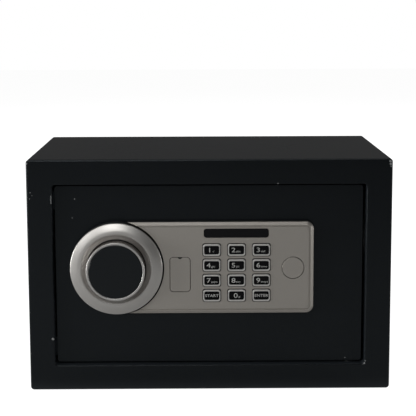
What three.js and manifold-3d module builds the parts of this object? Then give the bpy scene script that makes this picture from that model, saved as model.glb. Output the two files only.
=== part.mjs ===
// A small in-room safe: a folded steel cabinet with a recessed door hinged on the right,
// a moulded fascia with a turning knob, a keypad and two access covers, and the lock work behind it.
// Millimetres. +X is to the right, +Y goes into the safe, +Z is up.
// The origin is the centre of the cabinet's footprint, on the surface it stands on.
import * as THREE from "three";
import { mergeVertices } from "three/addons/utils/BufferGeometryUtils.js";
import Module from "manifold-3d";

const wasm = await Module();
wasm.setup();

// ---------------------------------------------------------------- driving dimensions
const WIDTH = 310;
const DEPTH = 200;
const HEIGHT = 200;
const SHEET = 1.5; // cabinet sheet steel
const BEND = 2.4; // outside radius of the fold round the front
const CORNER = 3; // outside radius of the cabinet's long corners
const FRONT = -DEPTH / 2;
const BACK = DEPTH / 2;
const MID = HEIGHT / 2;

const OPENING = { w: 267, h: 157, r: 3 };
const FRAME_DEPTH = 34; // how far the door frame reaches in behind the front flange
const GAP = 0.1; // between pieces that touch
const FIT = 0.3; // round a piece that moves or drops into a hole

const ANCHOR_R = 5;
const ANCHOR_X = 75; // the anchor holes stand this far either side of the centre
const ANCHOR_Y = 20; // and this far behind the centre, in the floor
const MAT = { thick: 2.5, front: -62, edge: 2.5, hole: 8 };

const STOP = { away: 64, half: 8, reach: 4, room: 0.4 }; // the door stops, above and below the middle
const SLOT = { y: 9, z: 10 }; // half sizes of the bolt slots in the frame

const RECESS = 7; // the door lies this far behind the cabinet's front
const DOOR = { left: -132, right: 131, low: 23, high: 177, thick: 3, r: 2.5 };
const DOOR_FACE = FRONT + RECESS;
const DOOR_BACK = DOOR_FACE + DOOR.thick;

const HINGE = { x: 120, y: DOOR_BACK + 3.5, pin: 3, head: 4.5, knuckle: 6 };
const KNUCKLE_H = 13;
const PIN_REACH = 14; // how far a pin goes into the opening
const PIN_HEAD_H = 2;

const KNOB = { x: -79.4, z: 107, r: 24.85, face: -118 };
const SPINDLE_R = 5;
const FASCIA = { right: 88.5, half: 39.5, r: 6.5, face: -102, wall: 2, bevel: 2.5, rise: 1.7 };
const DIAL = { base: 39.1, rim: 39.3, seat: -103.5, web: -101.2, wall: 2, crest: 30.2, throat: 26.2 };
const DIAL_SIDES = 32;
const DIAL_STEP = { base: 28.8, ring: 28.5, depth: 1.7 }; // where the ring's neck drops into the base
const DIAL_BORE = 11; // the hole in the base's web that the knob's hub turns in

const KEY = { w: 14.7, h: 10.2, r: 2, proud: 1.4, pitchX: 21.1, pitchZ: 13.15, lip: 0.95 };
const KEYPAD = { x: 22.8, top: 122.65 };
const KEY_LABELS = [
  ["1", "2", "3"],
  ["4", "5", "6"],
  ["7", "8", "9"],
  ["start", "0", "enter"],
];
const WINDOW = { x: 22.65, z: 137, w: 55, h: 7.5, r: 1.6 };
const PORT = { x: -25.25, z: 101.4, w: 17, h: 29.6, r: 1.8 }; // spare-battery port
const SOCKET = { w: 15.5, h: 27.5, floor: -99, snap: 2.8, apart: 6.4 };
const COVER_T = 1.6; // thickness of both access covers
const KEYHOLE = { x: 70.9, z: 106.9, cap: 9.25, barrel: 9.3 };

const CRANK_THROW = 12; // crank radius: a 60 degree turn moves the bolts 12 mm
const CRANK_START = Math.PI / 6; // crank angle past straight down at rest
const CRANK_PIN = 2.5;
const BOLT = { r: 8, y: -77, spread: 35, tip: -131, root: -100.1 };
const CARRIER = { y: -84.6, thick: 2, left: -100, right: 58, low: 84, high: 103 };
const CRANK_SLOT = { low: 91.8, high: 99.8 };
const UPRIGHT_W = 18; // width of the carrier's upright
const GUIDE = { left: -128, right: -125.5, foot: -118, footT: 2.5, past: 12 };
const STUDS = [-45, 5];
const STUD = { r: 3, z: 93.5 };
const PLUNGER = { x: 38, r: 4, tip: 107, collar: 5.2 };
const COIL = { w: 22, low: 113, high: 143, back: -70 };
const CAM = { y: -77.9, thick: 2, reach: 30.7, half: 3.2, hub: 8 };

const COVER = { left: -114, right: 104, low: 36, high: 164, back: -57, sheet: 1, lip: 8 };
const SCREW = { xs: [-105, 95], r: 1.9, head: 3.6 };
const TRAY = { left: -14, right: 96, low: 40, high: 74, front: -75, wall: 1.2 };
const CELL = { r: 7.1, length: 50 };
const RESET = { x: -40, z: 57, r: 3 };
const WIRE = { x: 30, z: 76, r: 1.5 };

const ROUND = 24; // sides of a large circle
const SMALL_ROUND = 16;

// ---------------------------------------------------------------- materials
const finish = (color, roughness, metalness) =>
  new THREE.MeshStandardMaterial({ color, roughness, metalness });
const paintedSteel = () => finish(0x16191b, 0.45, 0.1);
const satinNickel = () => finish(0xa39f97, 0.38, 0.75);
const blackGloss = () => finish(0x0d0f10, 0.25, 0);
const zincSteel = () => finish(0xa9acae, 0.35, 0.9);
const brass = () => finish(0xb08d45, 0.35, 0.9);
const rubber = () => finish(0x2a2c2e, 0.8, 0);
const circuit = () => finish(0x1f5a36, 0.5, 0);
const felt = () => finish(0x2b2d30, 0.95, 0);
const blackPlastic = () => finish(0x1a1b1c, 0.55, 0);
const redPlastic = () => finish(0xa32020, 0.45, 0);
const cellWrap = () => finish(0x3b6d8c, 0.35, 0.2);

// ---------------------------------------------------------------- solid helpers
// A three.js geometry as a manifold solid, its shared vertices merged.
function solid(geometry) {
  const bare = geometry.index ? geometry.toNonIndexed() : geometry.clone();
  bare.deleteAttribute("normal");
  bare.deleteAttribute("uv");
  const merged = mergeVertices(bare, 1e-4);
  return new wasm.Manifold(
    new wasm.Mesh({
      numProp: 3,
      vertProperties: merged.attributes.position.array,
      triVerts: new Uint32Array(merged.index.array),
    }),
  );
}

function geometryOf(made) {
  const mesh = made.getMesh();
  const places = new Float32Array(mesh.numVert * 3);
  for (let i = 0; i < mesh.numVert; i++)
    places.set(mesh.vertProperties.subarray(i * mesh.numProp, i * mesh.numProp + 3), i * 3);
  return new THREE.BufferGeometry()
    .setAttribute("position", new THREE.BufferAttribute(places, 3))
    .setIndex(new THREE.BufferAttribute(new Uint32Array(mesh.triVerts), 1));
}

const join = (first, ...rest) => rest.reduce((a, b) => a.add(b), first);
const cut = (first, ...rest) => rest.reduce((a, b) => a.subtract(b), first);

// A box from one corner to the other.
function block([x0, y0, z0], [x1, y1, z1]) {
  const box = new THREE.BoxGeometry(x1 - x0, y1 - y0, z1 - z0);
  box.translate((x0 + x1) / 2, (y0 + y1) / 2, (z0 + z1) / 2);
  return solid(box);
}

// An outline drawn in X and Z, made solid from y0 to y1. A bevel adds its own rise in front of y0.
function plate(shape, y0, y1, { bevel = 0, rise = bevel, steps = 1, curve = 3 } = {}) {
  const extruded = new THREE.ExtrudeGeometry(shape, {
    depth: y1 - y0,
    curveSegments: curve,
    bevelEnabled: bevel > 0,
    bevelSize: bevel,
    bevelOffset: -bevel,
    bevelThickness: rise,
    bevelSegments: steps,
  });
  extruded.rotateX(Math.PI / 2);
  extruded.translate(0, y1, 0);
  const made = solid(extruded);
  const far = 1000;
  return bevel ? cut(made, block([-far, y1, -far], [far, y1 + far, far])) : made;
}

function roundedRect(w, h, r, x = 0, z = 0) {
  const [left, right, low, high] = [x - w / 2, x + w / 2, z - h / 2, z + h / 2];
  const shape = new THREE.Shape();
  shape.moveTo(left + r, low);
  shape.lineTo(right - r, low);
  shape.absarc(right - r, low + r, r, -Math.PI / 2, 0, false);
  shape.lineTo(right, high - r);
  shape.absarc(right - r, high - r, r, 0, Math.PI / 2, false);
  shape.lineTo(left + r, high);
  shape.absarc(left + r, high - r, r, Math.PI / 2, Math.PI, false);
  shape.lineTo(left, low + r);
  shape.absarc(left + r, low + r, r, Math.PI, 1.5 * Math.PI, false);
  return shape;
}

// A round bar from one end to the other along Y or Z.
function barY(r, y0, y1, x = 0, z = 0, sides = SMALL_ROUND) {
  const bar = new THREE.CylinderGeometry(r, r, y1 - y0, sides);
  bar.translate(x, (y0 + y1) / 2, z);
  return solid(bar);
}

function barZ(r, z0, z1, x = 0, y = 0, sides = SMALL_ROUND) {
  const bar = new THREE.CylinderGeometry(r, r, z1 - z0, sides);
  bar.rotateX(Math.PI / 2);
  bar.translate(x, y, (z0 + z1) / 2);
  return solid(bar);
}

function barX(r, x0, x1, y = 0, z = 0, sides = SMALL_ROUND) {
  const bar = new THREE.CylinderGeometry(r, r, x1 - x0, sides);
  bar.rotateZ(Math.PI / 2);
  bar.translate((x0 + x1) / 2, y, z);
  return solid(bar);
}

// A turned piece: a closed profile of [radius, y] swept round the Y axis through x, z.
function turned(profile, x, z, sides = ROUND) {
  const outline = profile.map(([r, y]) => new THREE.Vector2(r, y));
  if (THREE.ShapeUtils.isClockWise(outline)) outline.reverse();
  const points = [...outline, outline[0]];
  const lathe = new THREE.LatheGeometry(points, sides);
  lathe.translate(x, 0, z);
  return solid(lathe);
}

// The parts by name, each in the group of the assembly that it belongs to.
const safe = new THREE.Group();
const cabinet = new THREE.Group();
const door = new THREE.Group();
const lockWork = new THREE.Group();
const keypad = new THREE.Group();
safe.add(cabinet, door);
door.add(lockWork, keypad);

function add(group, name, made, material, position = [0, 0, 0]) {
  const mesh = new THREE.Mesh(geometryOf(made), material);
  mesh.name = name;
  mesh.position.set(...position);
  group.add(mesh);
}

// ---------------------------------------------------------------- cabinet
const opening = (grow = 0) =>
  roundedRect(OPENING.w + 2 * grow, OPENING.h + 2 * grow, OPENING.r + grow, 0, MID);

function cabinetWrap() {
  const outside = plate(roundedRect(WIDTH, HEIGHT, CORNER, 0, MID), FRONT + BEND, BACK, {
    bevel: BEND,
    steps: 3,
  });
  const inner = roundedRect(WIDTH - 2 * SHEET, HEIGHT - 2 * SHEET, CORNER - SHEET, 0, MID);
  const inside = plate(inner, FRONT + SHEET, BACK + 1);
  const mouth = plate(opening(), FRONT - 1, FRONT + 2 * SHEET);
  const holes = [-ANCHOR_X, ANCHOR_X].map((x) => barZ(ANCHOR_R, -1, 2 * SHEET, x, ANCHOR_Y));
  return cut(outside, inside, mouth, ...holes);
}

// The frame round the opening, with a slot for each bolt, a hole for each hinge pin and two door stops.
function doorFrame() {
  const y0 = FRONT + SHEET + GAP;
  const y1 = y0 + FRAME_DEPTH;
  const ring = cut(plate(opening(SHEET), y0, y1), plate(opening(), y0 - 1, y1 + 1));
  const left = -OPENING.w / 2;
  const slots = [-1, 1].map((side) => {
    const z = KNOB.z + side * BOLT.spread;
    return block(
      [left - 2 * SHEET, BOLT.y - SLOT.y, z - SLOT.z],
      [left + SHEET, BOLT.y + SLOT.y, z + SLOT.z],
    );
  });
  const pinHoles = [0, HEIGHT].map((z) => {
    const wall = MID + Math.sign(z - MID) * (OPENING.h / 2 + SHEET / 2);
    return barZ(HINGE.pin + 0.2, wall - SHEET, wall + SHEET, HINGE.x, HINGE.y);
  });
  const stopFace = DOOR_BACK + STOP.room;
  const stops = [MID - STOP.away, MID + STOP.away].map((z) =>
    block(
      [left - SHEET / 2, stopFace, z - STOP.half],
      [left + STOP.reach, stopFace + SHEET, z + STOP.half],
    ),
  );
  return cut(join(ring, ...stops), ...slots, ...pinHoles);
}

function backPanel() {
  const inset = SHEET + 0.2;
  const outline = roundedRect(WIDTH - 2 * inset, HEIGHT - 2 * inset, CORNER - inset, 0, MID);
  const holes = [-ANCHOR_X, ANCHOR_X].map((x) => barY(ANCHOR_R, BACK - 2 * SHEET, BACK + 1, x, MID));
  return cut(plate(outline, BACK - SHEET, BACK), ...holes);
}

function floorMat() {
  const half = WIDTH / 2 - SHEET - MAT.edge;
  const low = SHEET + GAP;
  const mat = block([-half, MAT.front, low], [half, BACK - SHEET - MAT.edge, low + MAT.thick]);
  const holes = [-ANCHOR_X, ANCHOR_X].map((x) => barZ(MAT.hole, 0, 2 * MAT.thick, x, ANCHOR_Y));
  return cut(mat, ...holes);
}

// A headed pin that points down from the frame's top wall, or up from its bottom wall.
function hingePin(up) {
  const sign = up ? -1 : 1;
  const wall = MID + sign * (OPENING.h / 2 + SHEET + GAP);
  const tip = wall - sign * (SHEET + PIN_REACH);
  const end = wall + sign * PIN_HEAD_H;
  const shank = barZ(HINGE.pin, Math.min(tip, wall), Math.max(tip, wall), HINGE.x, HINGE.y);
  const head = barZ(HINGE.head, Math.min(wall, end), Math.max(wall, end), HINGE.x, HINGE.y);
  return join(shank, head);
}

add(cabinet, "cabinet_wrap", cabinetWrap(), paintedSteel());
add(cabinet, "door_frame", doorFrame(), paintedSteel());
add(cabinet, "back_panel", backPanel(), paintedSteel());
add(cabinet, "floor_mat", floorMat(), felt());
add(cabinet, "upper_hinge_pin", hingePin(false), zincSteel());
add(cabinet, "lower_hinge_pin", hingePin(true), zincSteel());

// ---------------------------------------------------------------- door
const coverScrewPlaces = SCREW.xs.flatMap((x) =>
  [COVER.low - COVER.lip / 2, COVER.high + COVER.lip / 2].map((z) => [x, z]),
);

function doorPlate() {
  const w = DOOR.right - DOOR.left;
  const h = DOOR.high - DOOR.low;
  const outline = roundedRect(w, h, DOOR.r, (DOOR.left + DOOR.right) / 2, (DOOR.low + DOOR.high) / 2);
  const [y0, y1] = [DOOR_FACE - 1, DOOR_BACK + 1];
  return cut(
    plate(outline, DOOR_FACE, DOOR_BACK),
    barY(SPINDLE_R + 0.2, y0, y1, KNOB.x, KNOB.z),
    barY(KEYHOLE.barrel + FIT, y0, y1, KEYHOLE.x, KEYHOLE.z),
    barY(WIRE.r + 2, y0, y1, WIRE.x, WIRE.z),
    ...coverScrewPlaces.map(([x, z]) => barY(SCREW.r + 0.2, DOOR_BACK - 1.8, y1, x, z, 12)),
  );
}

// A round barrel with a flat side that is welded to the back of the door.
function hingeKnuckle(low) {
  const high = low + KNUCKLE_H;
  const barrel = barZ(HINGE.knuckle, low, high, HINGE.x, HINGE.y);
  const web = block(
    [HINGE.x - HINGE.knuckle, DOOR_BACK + GAP, low],
    [HINGE.x + HINGE.knuckle, HINGE.y, high],
  );
  const door = block([HINGE.x - 20, DOOR_BACK - 20, low - 1], [HINGE.x + 20, DOOR_BACK + GAP, high + 1]);
  const bore = barZ(HINGE.pin + FIT, low - 1, high + 1, HINGE.x, HINGE.y);
  return cut(join(barrel, web), door, bore);
}

const lowKnuckle = MID - OPENING.h / 2 + FIT;
add(door, "door_plate", doorPlate(), paintedSteel());
add(door, "lower_hinge_knuckle", hingeKnuckle(lowKnuckle), paintedSteel());
add(door, "upper_hinge_knuckle", hingeKnuckle(HEIGHT - lowKnuckle - KNUCKLE_H), paintedSteel());

// ---------------------------------------------------------------- fascia
// The outline runs left to the middle of the dial, and has two rounded corners at its right.
function fasciaOutline(inset) {
  const [low, high] = [KNOB.z - FASCIA.half + inset, KNOB.z + FASCIA.half - inset];
  const right = FASCIA.right - inset;
  const r = FASCIA.r - inset;
  const shape = new THREE.Shape();
  shape.moveTo(KNOB.x, low);
  shape.lineTo(right - r, low);
  shape.absarc(right - r, low + r, r, -Math.PI / 2, 0, false);
  shape.lineTo(right, high - r);
  shape.absarc(right - r, high - r, r, 0, Math.PI / 2, false);
  shape.lineTo(KNOB.x, high);
  return shape;
}

const keyPlaces = KEY_LABELS.flatMap((row, down) =>
  row.map((label, across) => ({
    label,
    x: KEYPAD.x + (across - 1) * KEY.pitchX,
    z: KEYPAD.top - down * KEY.pitchZ,
  })),
);

function fasciaShell() {
  const { face, rise, bevel, wall } = FASCIA;
  const outside = plate(fasciaOutline(0), face + rise, DOOR_FACE - GAP, {
    bevel,
    rise,
    curve: 6,
  });
  const pocket = plate(fasciaOutline(wall + 1.5), face + wall, DOOR_FACE + 1, { curve: 6 });
  const through = [face - 1, face + wall + 1];
  const hole = (shape) => plate(shape, ...through);
  return cut(
    outside,
    pocket,
    barY(DIAL.base + FIT, face - 10, DOOR_FACE + 1, KNOB.x, KNOB.z, DIAL_SIDES),
    hole(roundedRect(WINDOW.w + 0.4, WINDOW.h + 0.4, WINDOW.r, WINDOW.x, WINDOW.z)),
    hole(roundedRect(PORT.w + 0.4, PORT.h + 0.4, PORT.r, PORT.x, PORT.z)),
    barY(KEYHOLE.cap + 0.2, ...through, KEYHOLE.x, KEYHOLE.z, ROUND),
    ...keyPlaces.map(({ x, z }) =>
      hole(roundedRect(KEY.w + 2 * FIT, KEY.h + 2 * FIT, KEY.r, x, z)),
    ),
  );
}

// The round base that the knob turns in: a shallow cup, open towards the door.
function dialBase() {
  const { base, seat, wall, web } = DIAL;
  return turned(
    [
      [base, DOOR_FACE - GAP],
      [base, seat + GAP],
      [DIAL_STEP.base, seat + GAP],
      [DIAL_STEP.base, web],
      [DIAL_BORE, web],
      [DIAL_BORE, web + wall],
      [base - wall, web + wall],
      [base - wall, DOOR_FACE - GAP],
    ],
    KNOB.x,
    KNOB.z,
    DIAL_SIDES,
  );
}

// The dished ring on the base: it rises to a crest and falls again towards the knob.
function dialRing() {
  const { rim, seat, crest, throat } = DIAL;
  return turned(
    [
      [rim, seat],
      [rim, seat - 1],
      [rim - 0.6, seat - 1.6],
      [crest + 0.4, seat - 3.7],
      [crest - 0.4, seat - 3.6],
      [throat, seat],
      [throat, seat + DIAL_STEP.depth],
      [DIAL_STEP.ring, seat + DIAL_STEP.depth],
      [DIAL_STEP.ring, seat],
    ],
    KNOB.x,
    KNOB.z,
    DIAL_SIDES,
  );
}

function displayWindow() {
  return plate(
    roundedRect(WINDOW.w, WINDOW.h, WINDOW.r, WINDOW.x, WINDOW.z),
    FASCIA.face + 0.4,
    FASCIA.face + FASCIA.wall + 0.4,
  );
}

add(door, "fascia_shell", fasciaShell(), satinNickel());
add(door, "dial_base", dialBase(), blackPlastic());
add(door, "dial_ring", dialRing(), satinNickel());
add(door, "display_window", displayWindow(), blackGloss());

// ---------------------------------------------------------------- keypad
const BOARD = { back: DOOR_FACE - 1.2, thick: 1.6 };
const boardFace = BOARD.back - BOARD.thick;
const MEMBRANE = { thick: 1.3, left: -9, right: 54.6, low: 76, high: 129.5, pad: 2.6 };
const BOARD_EDGES = { left: -12, right: 57, low: 74, high: 143 };
const MODULE = { left: -5, right: 50, low: 132, high: 142, thick: 2.7 };
const KEY_LIP_T = 0.8;

function keyCap() {
  const top = FASCIA.face - KEY.proud;
  const under = FASCIA.face + FASCIA.wall + FIT;
  const chamfer = 0.5;
  const cap = plate(roundedRect(KEY.w, KEY.h, KEY.r), top + chamfer, under + KEY_LIP_T, {
    bevel: chamfer,
    curve: 2,
  });
  const lip = roundedRect(KEY.w + 2 * KEY.lip, KEY.h + 2 * KEY.lip, KEY.r);
  return join(cap, plate(lip, under, under + KEY_LIP_T, { curve: 2 }));
}

for (const { label, x, z } of keyPlaces)
  add(keypad, `key_${label}`, keyCap(), satinNickel(), [x, 0, z]);

function membrane() {
  const y1 = boardFace - GAP;
  const { thick, left, right, low, high, pad } = MEMBRANE;
  const sheet = block([left, y1 - thick, low], [right, y1, high]);
  const pads = keyPlaces.map(({ x, z }) => barY(pad, y1 - thick - FIT, y1 - FIT, x, z, 8));
  return join(sheet, ...pads);
}

function keypadBoard() {
  const { left, right, low, high } = BOARD_EDGES;
  return block([left, boardFace, low], [right, BOARD.back, high]);
}

// The block behind the display window, on the board's face.
function displayModule() {
  const { left, right, low, high, thick } = MODULE;
  return block([left, boardFace - GAP - thick, low], [right, boardFace - GAP, high]);
}

add(keypad, "keypad_membrane", membrane(), rubber());
add(keypad, "keypad_board", keypadBoard(), circuit());
add(keypad, "display_module", displayModule(), blackPlastic());

// ---------------------------------------------------------------- spare-battery port and emergency keyhole
function portCover() {
  const outline = roundedRect(PORT.w, PORT.h, PORT.r, PORT.x, PORT.z);
  const top = PORT.z + PORT.h / 2;
  const pry = block([PORT.x - 1.6, FASCIA.face - 1, top - 0.7], [PORT.x + 1.6, FASCIA.face + 0.8, top + 1]);
  return cut(plate(outline, FASCIA.face - 0.1, FASCIA.face + COVER_T), pry);
}

// The block under the port's cover, with two round snap contacts for the spare battery.
function portSocket() {
  const { w, h, floor, snap, apart } = SOCKET;
  const body = block(
    [PORT.x - w / 2, floor, PORT.z - h / 2],
    [PORT.x + w / 2, DOOR_FACE - 0.5, PORT.z + h / 2],
  );
  const snaps = [-1, 1].map((side) => barY(snap, floor - 0.9, floor + 1, PORT.x, PORT.z + side * apart, 16));
  return join(body, ...snaps);
}

add(door, "port_cover", portCover(), satinNickel());
add(door, "port_socket", portSocket(), blackPlastic());
add(
  door,
  "keyhole_cap",
  barY(KEYHOLE.cap, FASCIA.face, FASCIA.face + COVER_T, KEYHOLE.x, KEYHOLE.z, ROUND),
  satinNickel(),
);

const PLUG_R = 4.6;
const plugFace = FASCIA.face + 2.1;
const barrelEnd = CAM.y - 0.2;

// The fixed barrel, with a flange that bears on the door's face.
function lockBarrel() {
  const { x, z } = KEYHOLE;
  const flange = { r: KEYHOLE.barrel + 2, front: DOOR_FACE - 2.2 };
  const body = join(
    barY(KEYHOLE.barrel, plugFace + 0.4, barrelEnd, x, z),
    barY(flange.r, flange.front, DOOR_FACE - GAP, x, z),
  );
  return cut(body, barY(PLUG_R + FIT, plugFace - 1, barrelEnd + 1, x, z));
}

const NUT = { corner: 13.5, thick: 3.5 };

function lockNut() {
  const { x, z } = KEYHOLE;
  const y0 = DOOR_BACK + GAP;
  const y1 = y0 + NUT.thick;
  return cut(barY(NUT.corner, y0, y1, x, z, 6), barY(KEYHOLE.barrel + 0.2, y0 - 1, y1 + 1, x, z));
}

// The turning plug, with the ring slot and notch that take a tubular key.
function lockPlug() {
  const { x, z } = KEYHOLE;
  const slot = cut(
    barY(3.6, plugFace - 1, plugFace + 5, x, z),
    barY(2.4, plugFace - 2, plugFace + 6, x, z),
  );
  const notch = block([x - 0.8, plugFace - 1, z + 3], [x + 0.8, plugFace + 2, z + 6]);
  return cut(barY(PLUG_R, plugFace, CAM.y + CAM.thick + 1.4, x, z), slot, notch);
}

// A lever that hangs down from the plug and swings left, behind the plunger's collar.
function lockCam() {
  const { x, z } = KEYHOLE;
  const [y0, y1] = [CAM.y, CAM.y + CAM.thick];
  const tip = z - CAM.reach + CAM.half;
  return cut(
    join(
      barY(CAM.hub, y0, y1, x, z),
      block([x - CAM.half, y0, tip], [x + CAM.half, y1, z]),
      barY(CAM.half, y0, y1, x, tip),
    ),
    barY(PLUG_R + 0.15, y0 - 1, y1 + 1, x, z),
  );
}

add(lockWork, "lock_barrel", lockBarrel(), zincSteel());
add(lockWork, "lock_nut", lockNut(), zincSteel());
add(lockWork, "lock_plug", lockPlug(), brass());
add(lockWork, "lock_cam", lockCam(), zincSteel());

// ---------------------------------------------------------------- knob
function knobBody() {
  const { r, face } = KNOB;
  const hub = { r: 9, end: DIAL.web - 0.5 };
  const skirt = { in: r - 2.2, end: DIAL.web - 1.6, top: face + 3.5 };
  return turned(
    [
      [SPINDLE_R + FIT, hub.end],
      [hub.r, hub.end],
      [hub.r, skirt.top],
      [skirt.in, skirt.top],
      [skirt.in, skirt.end],
      [r, skirt.end],
      [r, face + 0.8],
      [r - 0.7, face],
      [r - 2, face],
      [r - 2.5, face + 0.5],
      [r - 2.5, face + 1.6],
      [SPINDLE_R + FIT, face + 1.6],
    ],
    KNOB.x,
    KNOB.z,
    DIAL_SIDES,
  );
}

function knobCap() {
  const back = KNOB.face + 1.5;
  return turned(
    [
      [0, back],
      [KNOB.r - 2.7, back],
      [KNOB.r - 2.7, back - 0.9],
      [KNOB.r - 3.1, back - 1.2],
      [0, back - 1.3],
    ],
    KNOB.x,
    KNOB.z,
    DIAL_SIDES,
  );
}

const CRANK = { y0: DOOR_BACK + 1.2, y1: DOOR_BACK + 4.2, r: 17 };

function knobSpindle() {
  return join(
    barY(SPINDLE_R, KNOB.face + 1.9, CRANK.y0 - GAP, KNOB.x, KNOB.z),
    barY(SPINDLE_R - 1.2, CRANK.y0 - 1, CRANK.y1, KNOB.x, KNOB.z),
  );
}

function driveCrank() {
  const { x, z } = KNOB;
  const pinX = x + CRANK_THROW * Math.sin(CRANK_START);
  const pinZ = z - CRANK_THROW * Math.cos(CRANK_START);
  return join(
    cut(
      barY(CRANK.r, CRANK.y0, CRANK.y1, x, z, ROUND),
      barY(SPINDLE_R - 1, CRANK.y0 - 1, CRANK.y1 + 1, x, z),
    ),
    barY(CRANK_PIN, CRANK.y1 - 1, CRANK.y1 + 5, pinX, pinZ),
  );
}

add(lockWork, "knob_body", knobBody(), satinNickel());
add(lockWork, "knob_cap", knobCap(), blackGloss());
add(lockWork, "knob_spindle", knobSpindle(), zincSteel());
add(lockWork, "drive_crank", driveCrank(), zincSteel());

// ---------------------------------------------------------------- bolt work
const boltZ = { upper: KNOB.z + BOLT.spread, lower: KNOB.z - BOLT.spread };
const BOLT_TRAVEL = 2 * CRANK_THROW * Math.sin(CRANK_START);

// One folded plate: a long arm with the crank's slot, two guide slots and the plunger's notch,
// and an upright at its left end whose folded flange carries the bolts.
function boltCarrier() {
  const { y, thick, left, right, low, high } = CARRIER;
  const y1 = y + thick;
  const arm = block([left, y, low], [right, y1, high]);
  const [foot, top] = [boltZ.lower - 10, boltZ.upper + 10];
  const upright = block([left, y, foot], [left + UPRIGHT_W, y1, top]);
  const flange = block([left, y, foot], [left + thick, BOLT.y + 9, top]);
  const crankX = KNOB.x + CRANK_THROW * Math.sin(CRANK_START);
  const slotHalf = CRANK_PIN + 0.35;
  const crankSlot = block(
    [crankX - slotHalf, y - 1, CRANK_SLOT.low],
    [crankX + slotHalf, y1 + 1, CRANK_SLOT.high],
  );
  const reach = STUD.r + FIT;
  const guideSlots = STUDS.map((x) =>
    block([x - reach, y - 1, STUD.z - reach], [x + BOLT_TRAVEL + reach, y1 + 1, STUD.z + reach]),
  );
  const notch = block([PLUNGER.x + 3.5, y - 1, high - 3.5], [PLUNGER.x + 16.5, y1 + 1, high + 1]);
  return cut(join(arm, upright, flange), crankSlot, ...guideSlots, notch);
}

function lockBolt(z) {
  const chamfer = 1.2;
  const tip = new THREE.CylinderGeometry(BOLT.r, BOLT.r - chamfer, chamfer, ROUND);
  tip.rotateZ(-Math.PI / 2);
  tip.translate(BOLT.tip + chamfer / 2, BOLT.y, z);
  return join(barX(BOLT.r, BOLT.tip + chamfer, BOLT.root, BOLT.y, z, ROUND), solid(tip));
}

// The bracket on the door's left that both bolts slide through.
function boltGuide() {
  const [low, high] = [boltZ.lower - GUIDE.past, boltZ.upper + GUIDE.past];
  const y0 = DOOR_BACK + GAP;
  const upright = block([GUIDE.left, y0, low], [GUIDE.right, BOLT.y + 11, high]);
  const foot = block([GUIDE.left, y0, low], [GUIDE.foot, y0 + GUIDE.footT, high]);
  const bores = [boltZ.lower, boltZ.upper].map((z) =>
    barX(BOLT.r + FIT, GUIDE.left - 1, GUIDE.right + 1, BOLT.y, z, ROUND),
  );
  return cut(join(upright, foot), ...bores);
}

// A shouldered stud that the carrier slides on, with a head to keep it down.
function carrierStud(x) {
  const head = CARRIER.y + CARRIER.thick + FIT;
  return join(
    barY(STUD.r, DOOR_BACK + GAP, head + 1, x, STUD.z),
    barY(STUD.r + 2.2, head, head + 2, x, STUD.z),
    barY(STUD.r + 1.5, DOOR_BACK + GAP, CARRIER.y - FIT, x, STUD.z),
  );
}

add(lockWork, "bolt_carrier", boltCarrier(), zincSteel());
add(lockWork, "upper_bolt", lockBolt(boltZ.upper), zincSteel());
add(lockWork, "lower_bolt", lockBolt(boltZ.lower), zincSteel());
add(lockWork, "bolt_guide", boltGuide(), paintedSteel());
add(lockWork, "left_carrier_stud", carrierStud(STUDS[0]), zincSteel());
add(lockWork, "right_carrier_stud", carrierStud(STUDS[1]), zincSteel());

// ---------------------------------------------------------------- solenoid
const plungerY = CARRIER.y + CARRIER.thick / 2;
const plungerTop = COIL.low + 18;

function solenoidCoil() {
  const half = COIL.w / 2;
  const body = block(
    [PLUNGER.x - half, DOOR_BACK + GAP, COIL.low],
    [PLUNGER.x + half, COIL.back, COIL.high],
  );
  return cut(body, barZ(PLUNGER.r + FIT, COIL.low - 1, plungerTop + 2, PLUNGER.x, plungerY));
}

function solenoidPlunger() {
  const collar = COIL.low - 2.7;
  return join(
    barZ(PLUNGER.r, PLUNGER.tip, plungerTop, PLUNGER.x, plungerY),
    barZ(PLUNGER.collar, collar, collar + 2, PLUNGER.x, plungerY),
  );
}

add(lockWork, "solenoid_coil", solenoidCoil(), zincSteel());
add(lockWork, "solenoid_plunger", solenoidPlunger(), zincSteel());

// ---------------------------------------------------------------- inner cover and batteries
function mechanismCover() {
  const { left, right, low, high, back, sheet, lip } = COVER;
  const y0 = DOOR_BACK + GAP;
  const w = right - left;
  const [x, z] = [(left + right) / 2, (low + high) / 2];
  const pan = plate(roundedRect(w, high - low, 3, x, z), y0, back);
  const inside = roundedRect(w - 2 * sheet, high - low - 2 * sheet, 2, x, z);
  const lips = roundedRect(w, high - low + 2 * lip, 4, x, z);
  const cutouts = [boltZ.lower, boltZ.upper].map((bolt) =>
    barX(BOLT.r + 0.8, left - 1, left + 2, BOLT.y, bolt),
  );
  const tray = block(
    [TRAY.left - 0.5, back - 2, TRAY.low - 0.5],
    [TRAY.right + 0.5, back + 1, TRAY.high + 0.5],
  );
  return cut(
    join(pan, plate(lips, y0, y0 + sheet)),
    plate(inside, y0 - 1, back - sheet),
    ...cutouts,
    tray,
    barY(RESET.r + FIT, back - 2, back + 1, RESET.x, RESET.z),
    ...coverScrewPlaces.map(([sx, sz]) => barY(SCREW.r + 0.2, y0 - 1, y0 + 2, sx, sz, 12)),
  );
}

// A pan-head screw with a cross recess, its tip in the door's blind hole.
function coverScrew() {
  const under = DOOR_BACK + 2 * GAP + COVER.sheet;
  const head = screwHead(under);
  const shank = barY(SCREW.r, DOOR_BACK - 1.5, under + 0.5, 0, 0, 12);
  const across = block([-2, under + 1.4, -0.4], [2, under + 4, 0.4]);
  const down = block([-0.4, under + 1.4, -2], [0.4, under + 4, 2]);
  return cut(join(head, shank), across, down);
}

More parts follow.
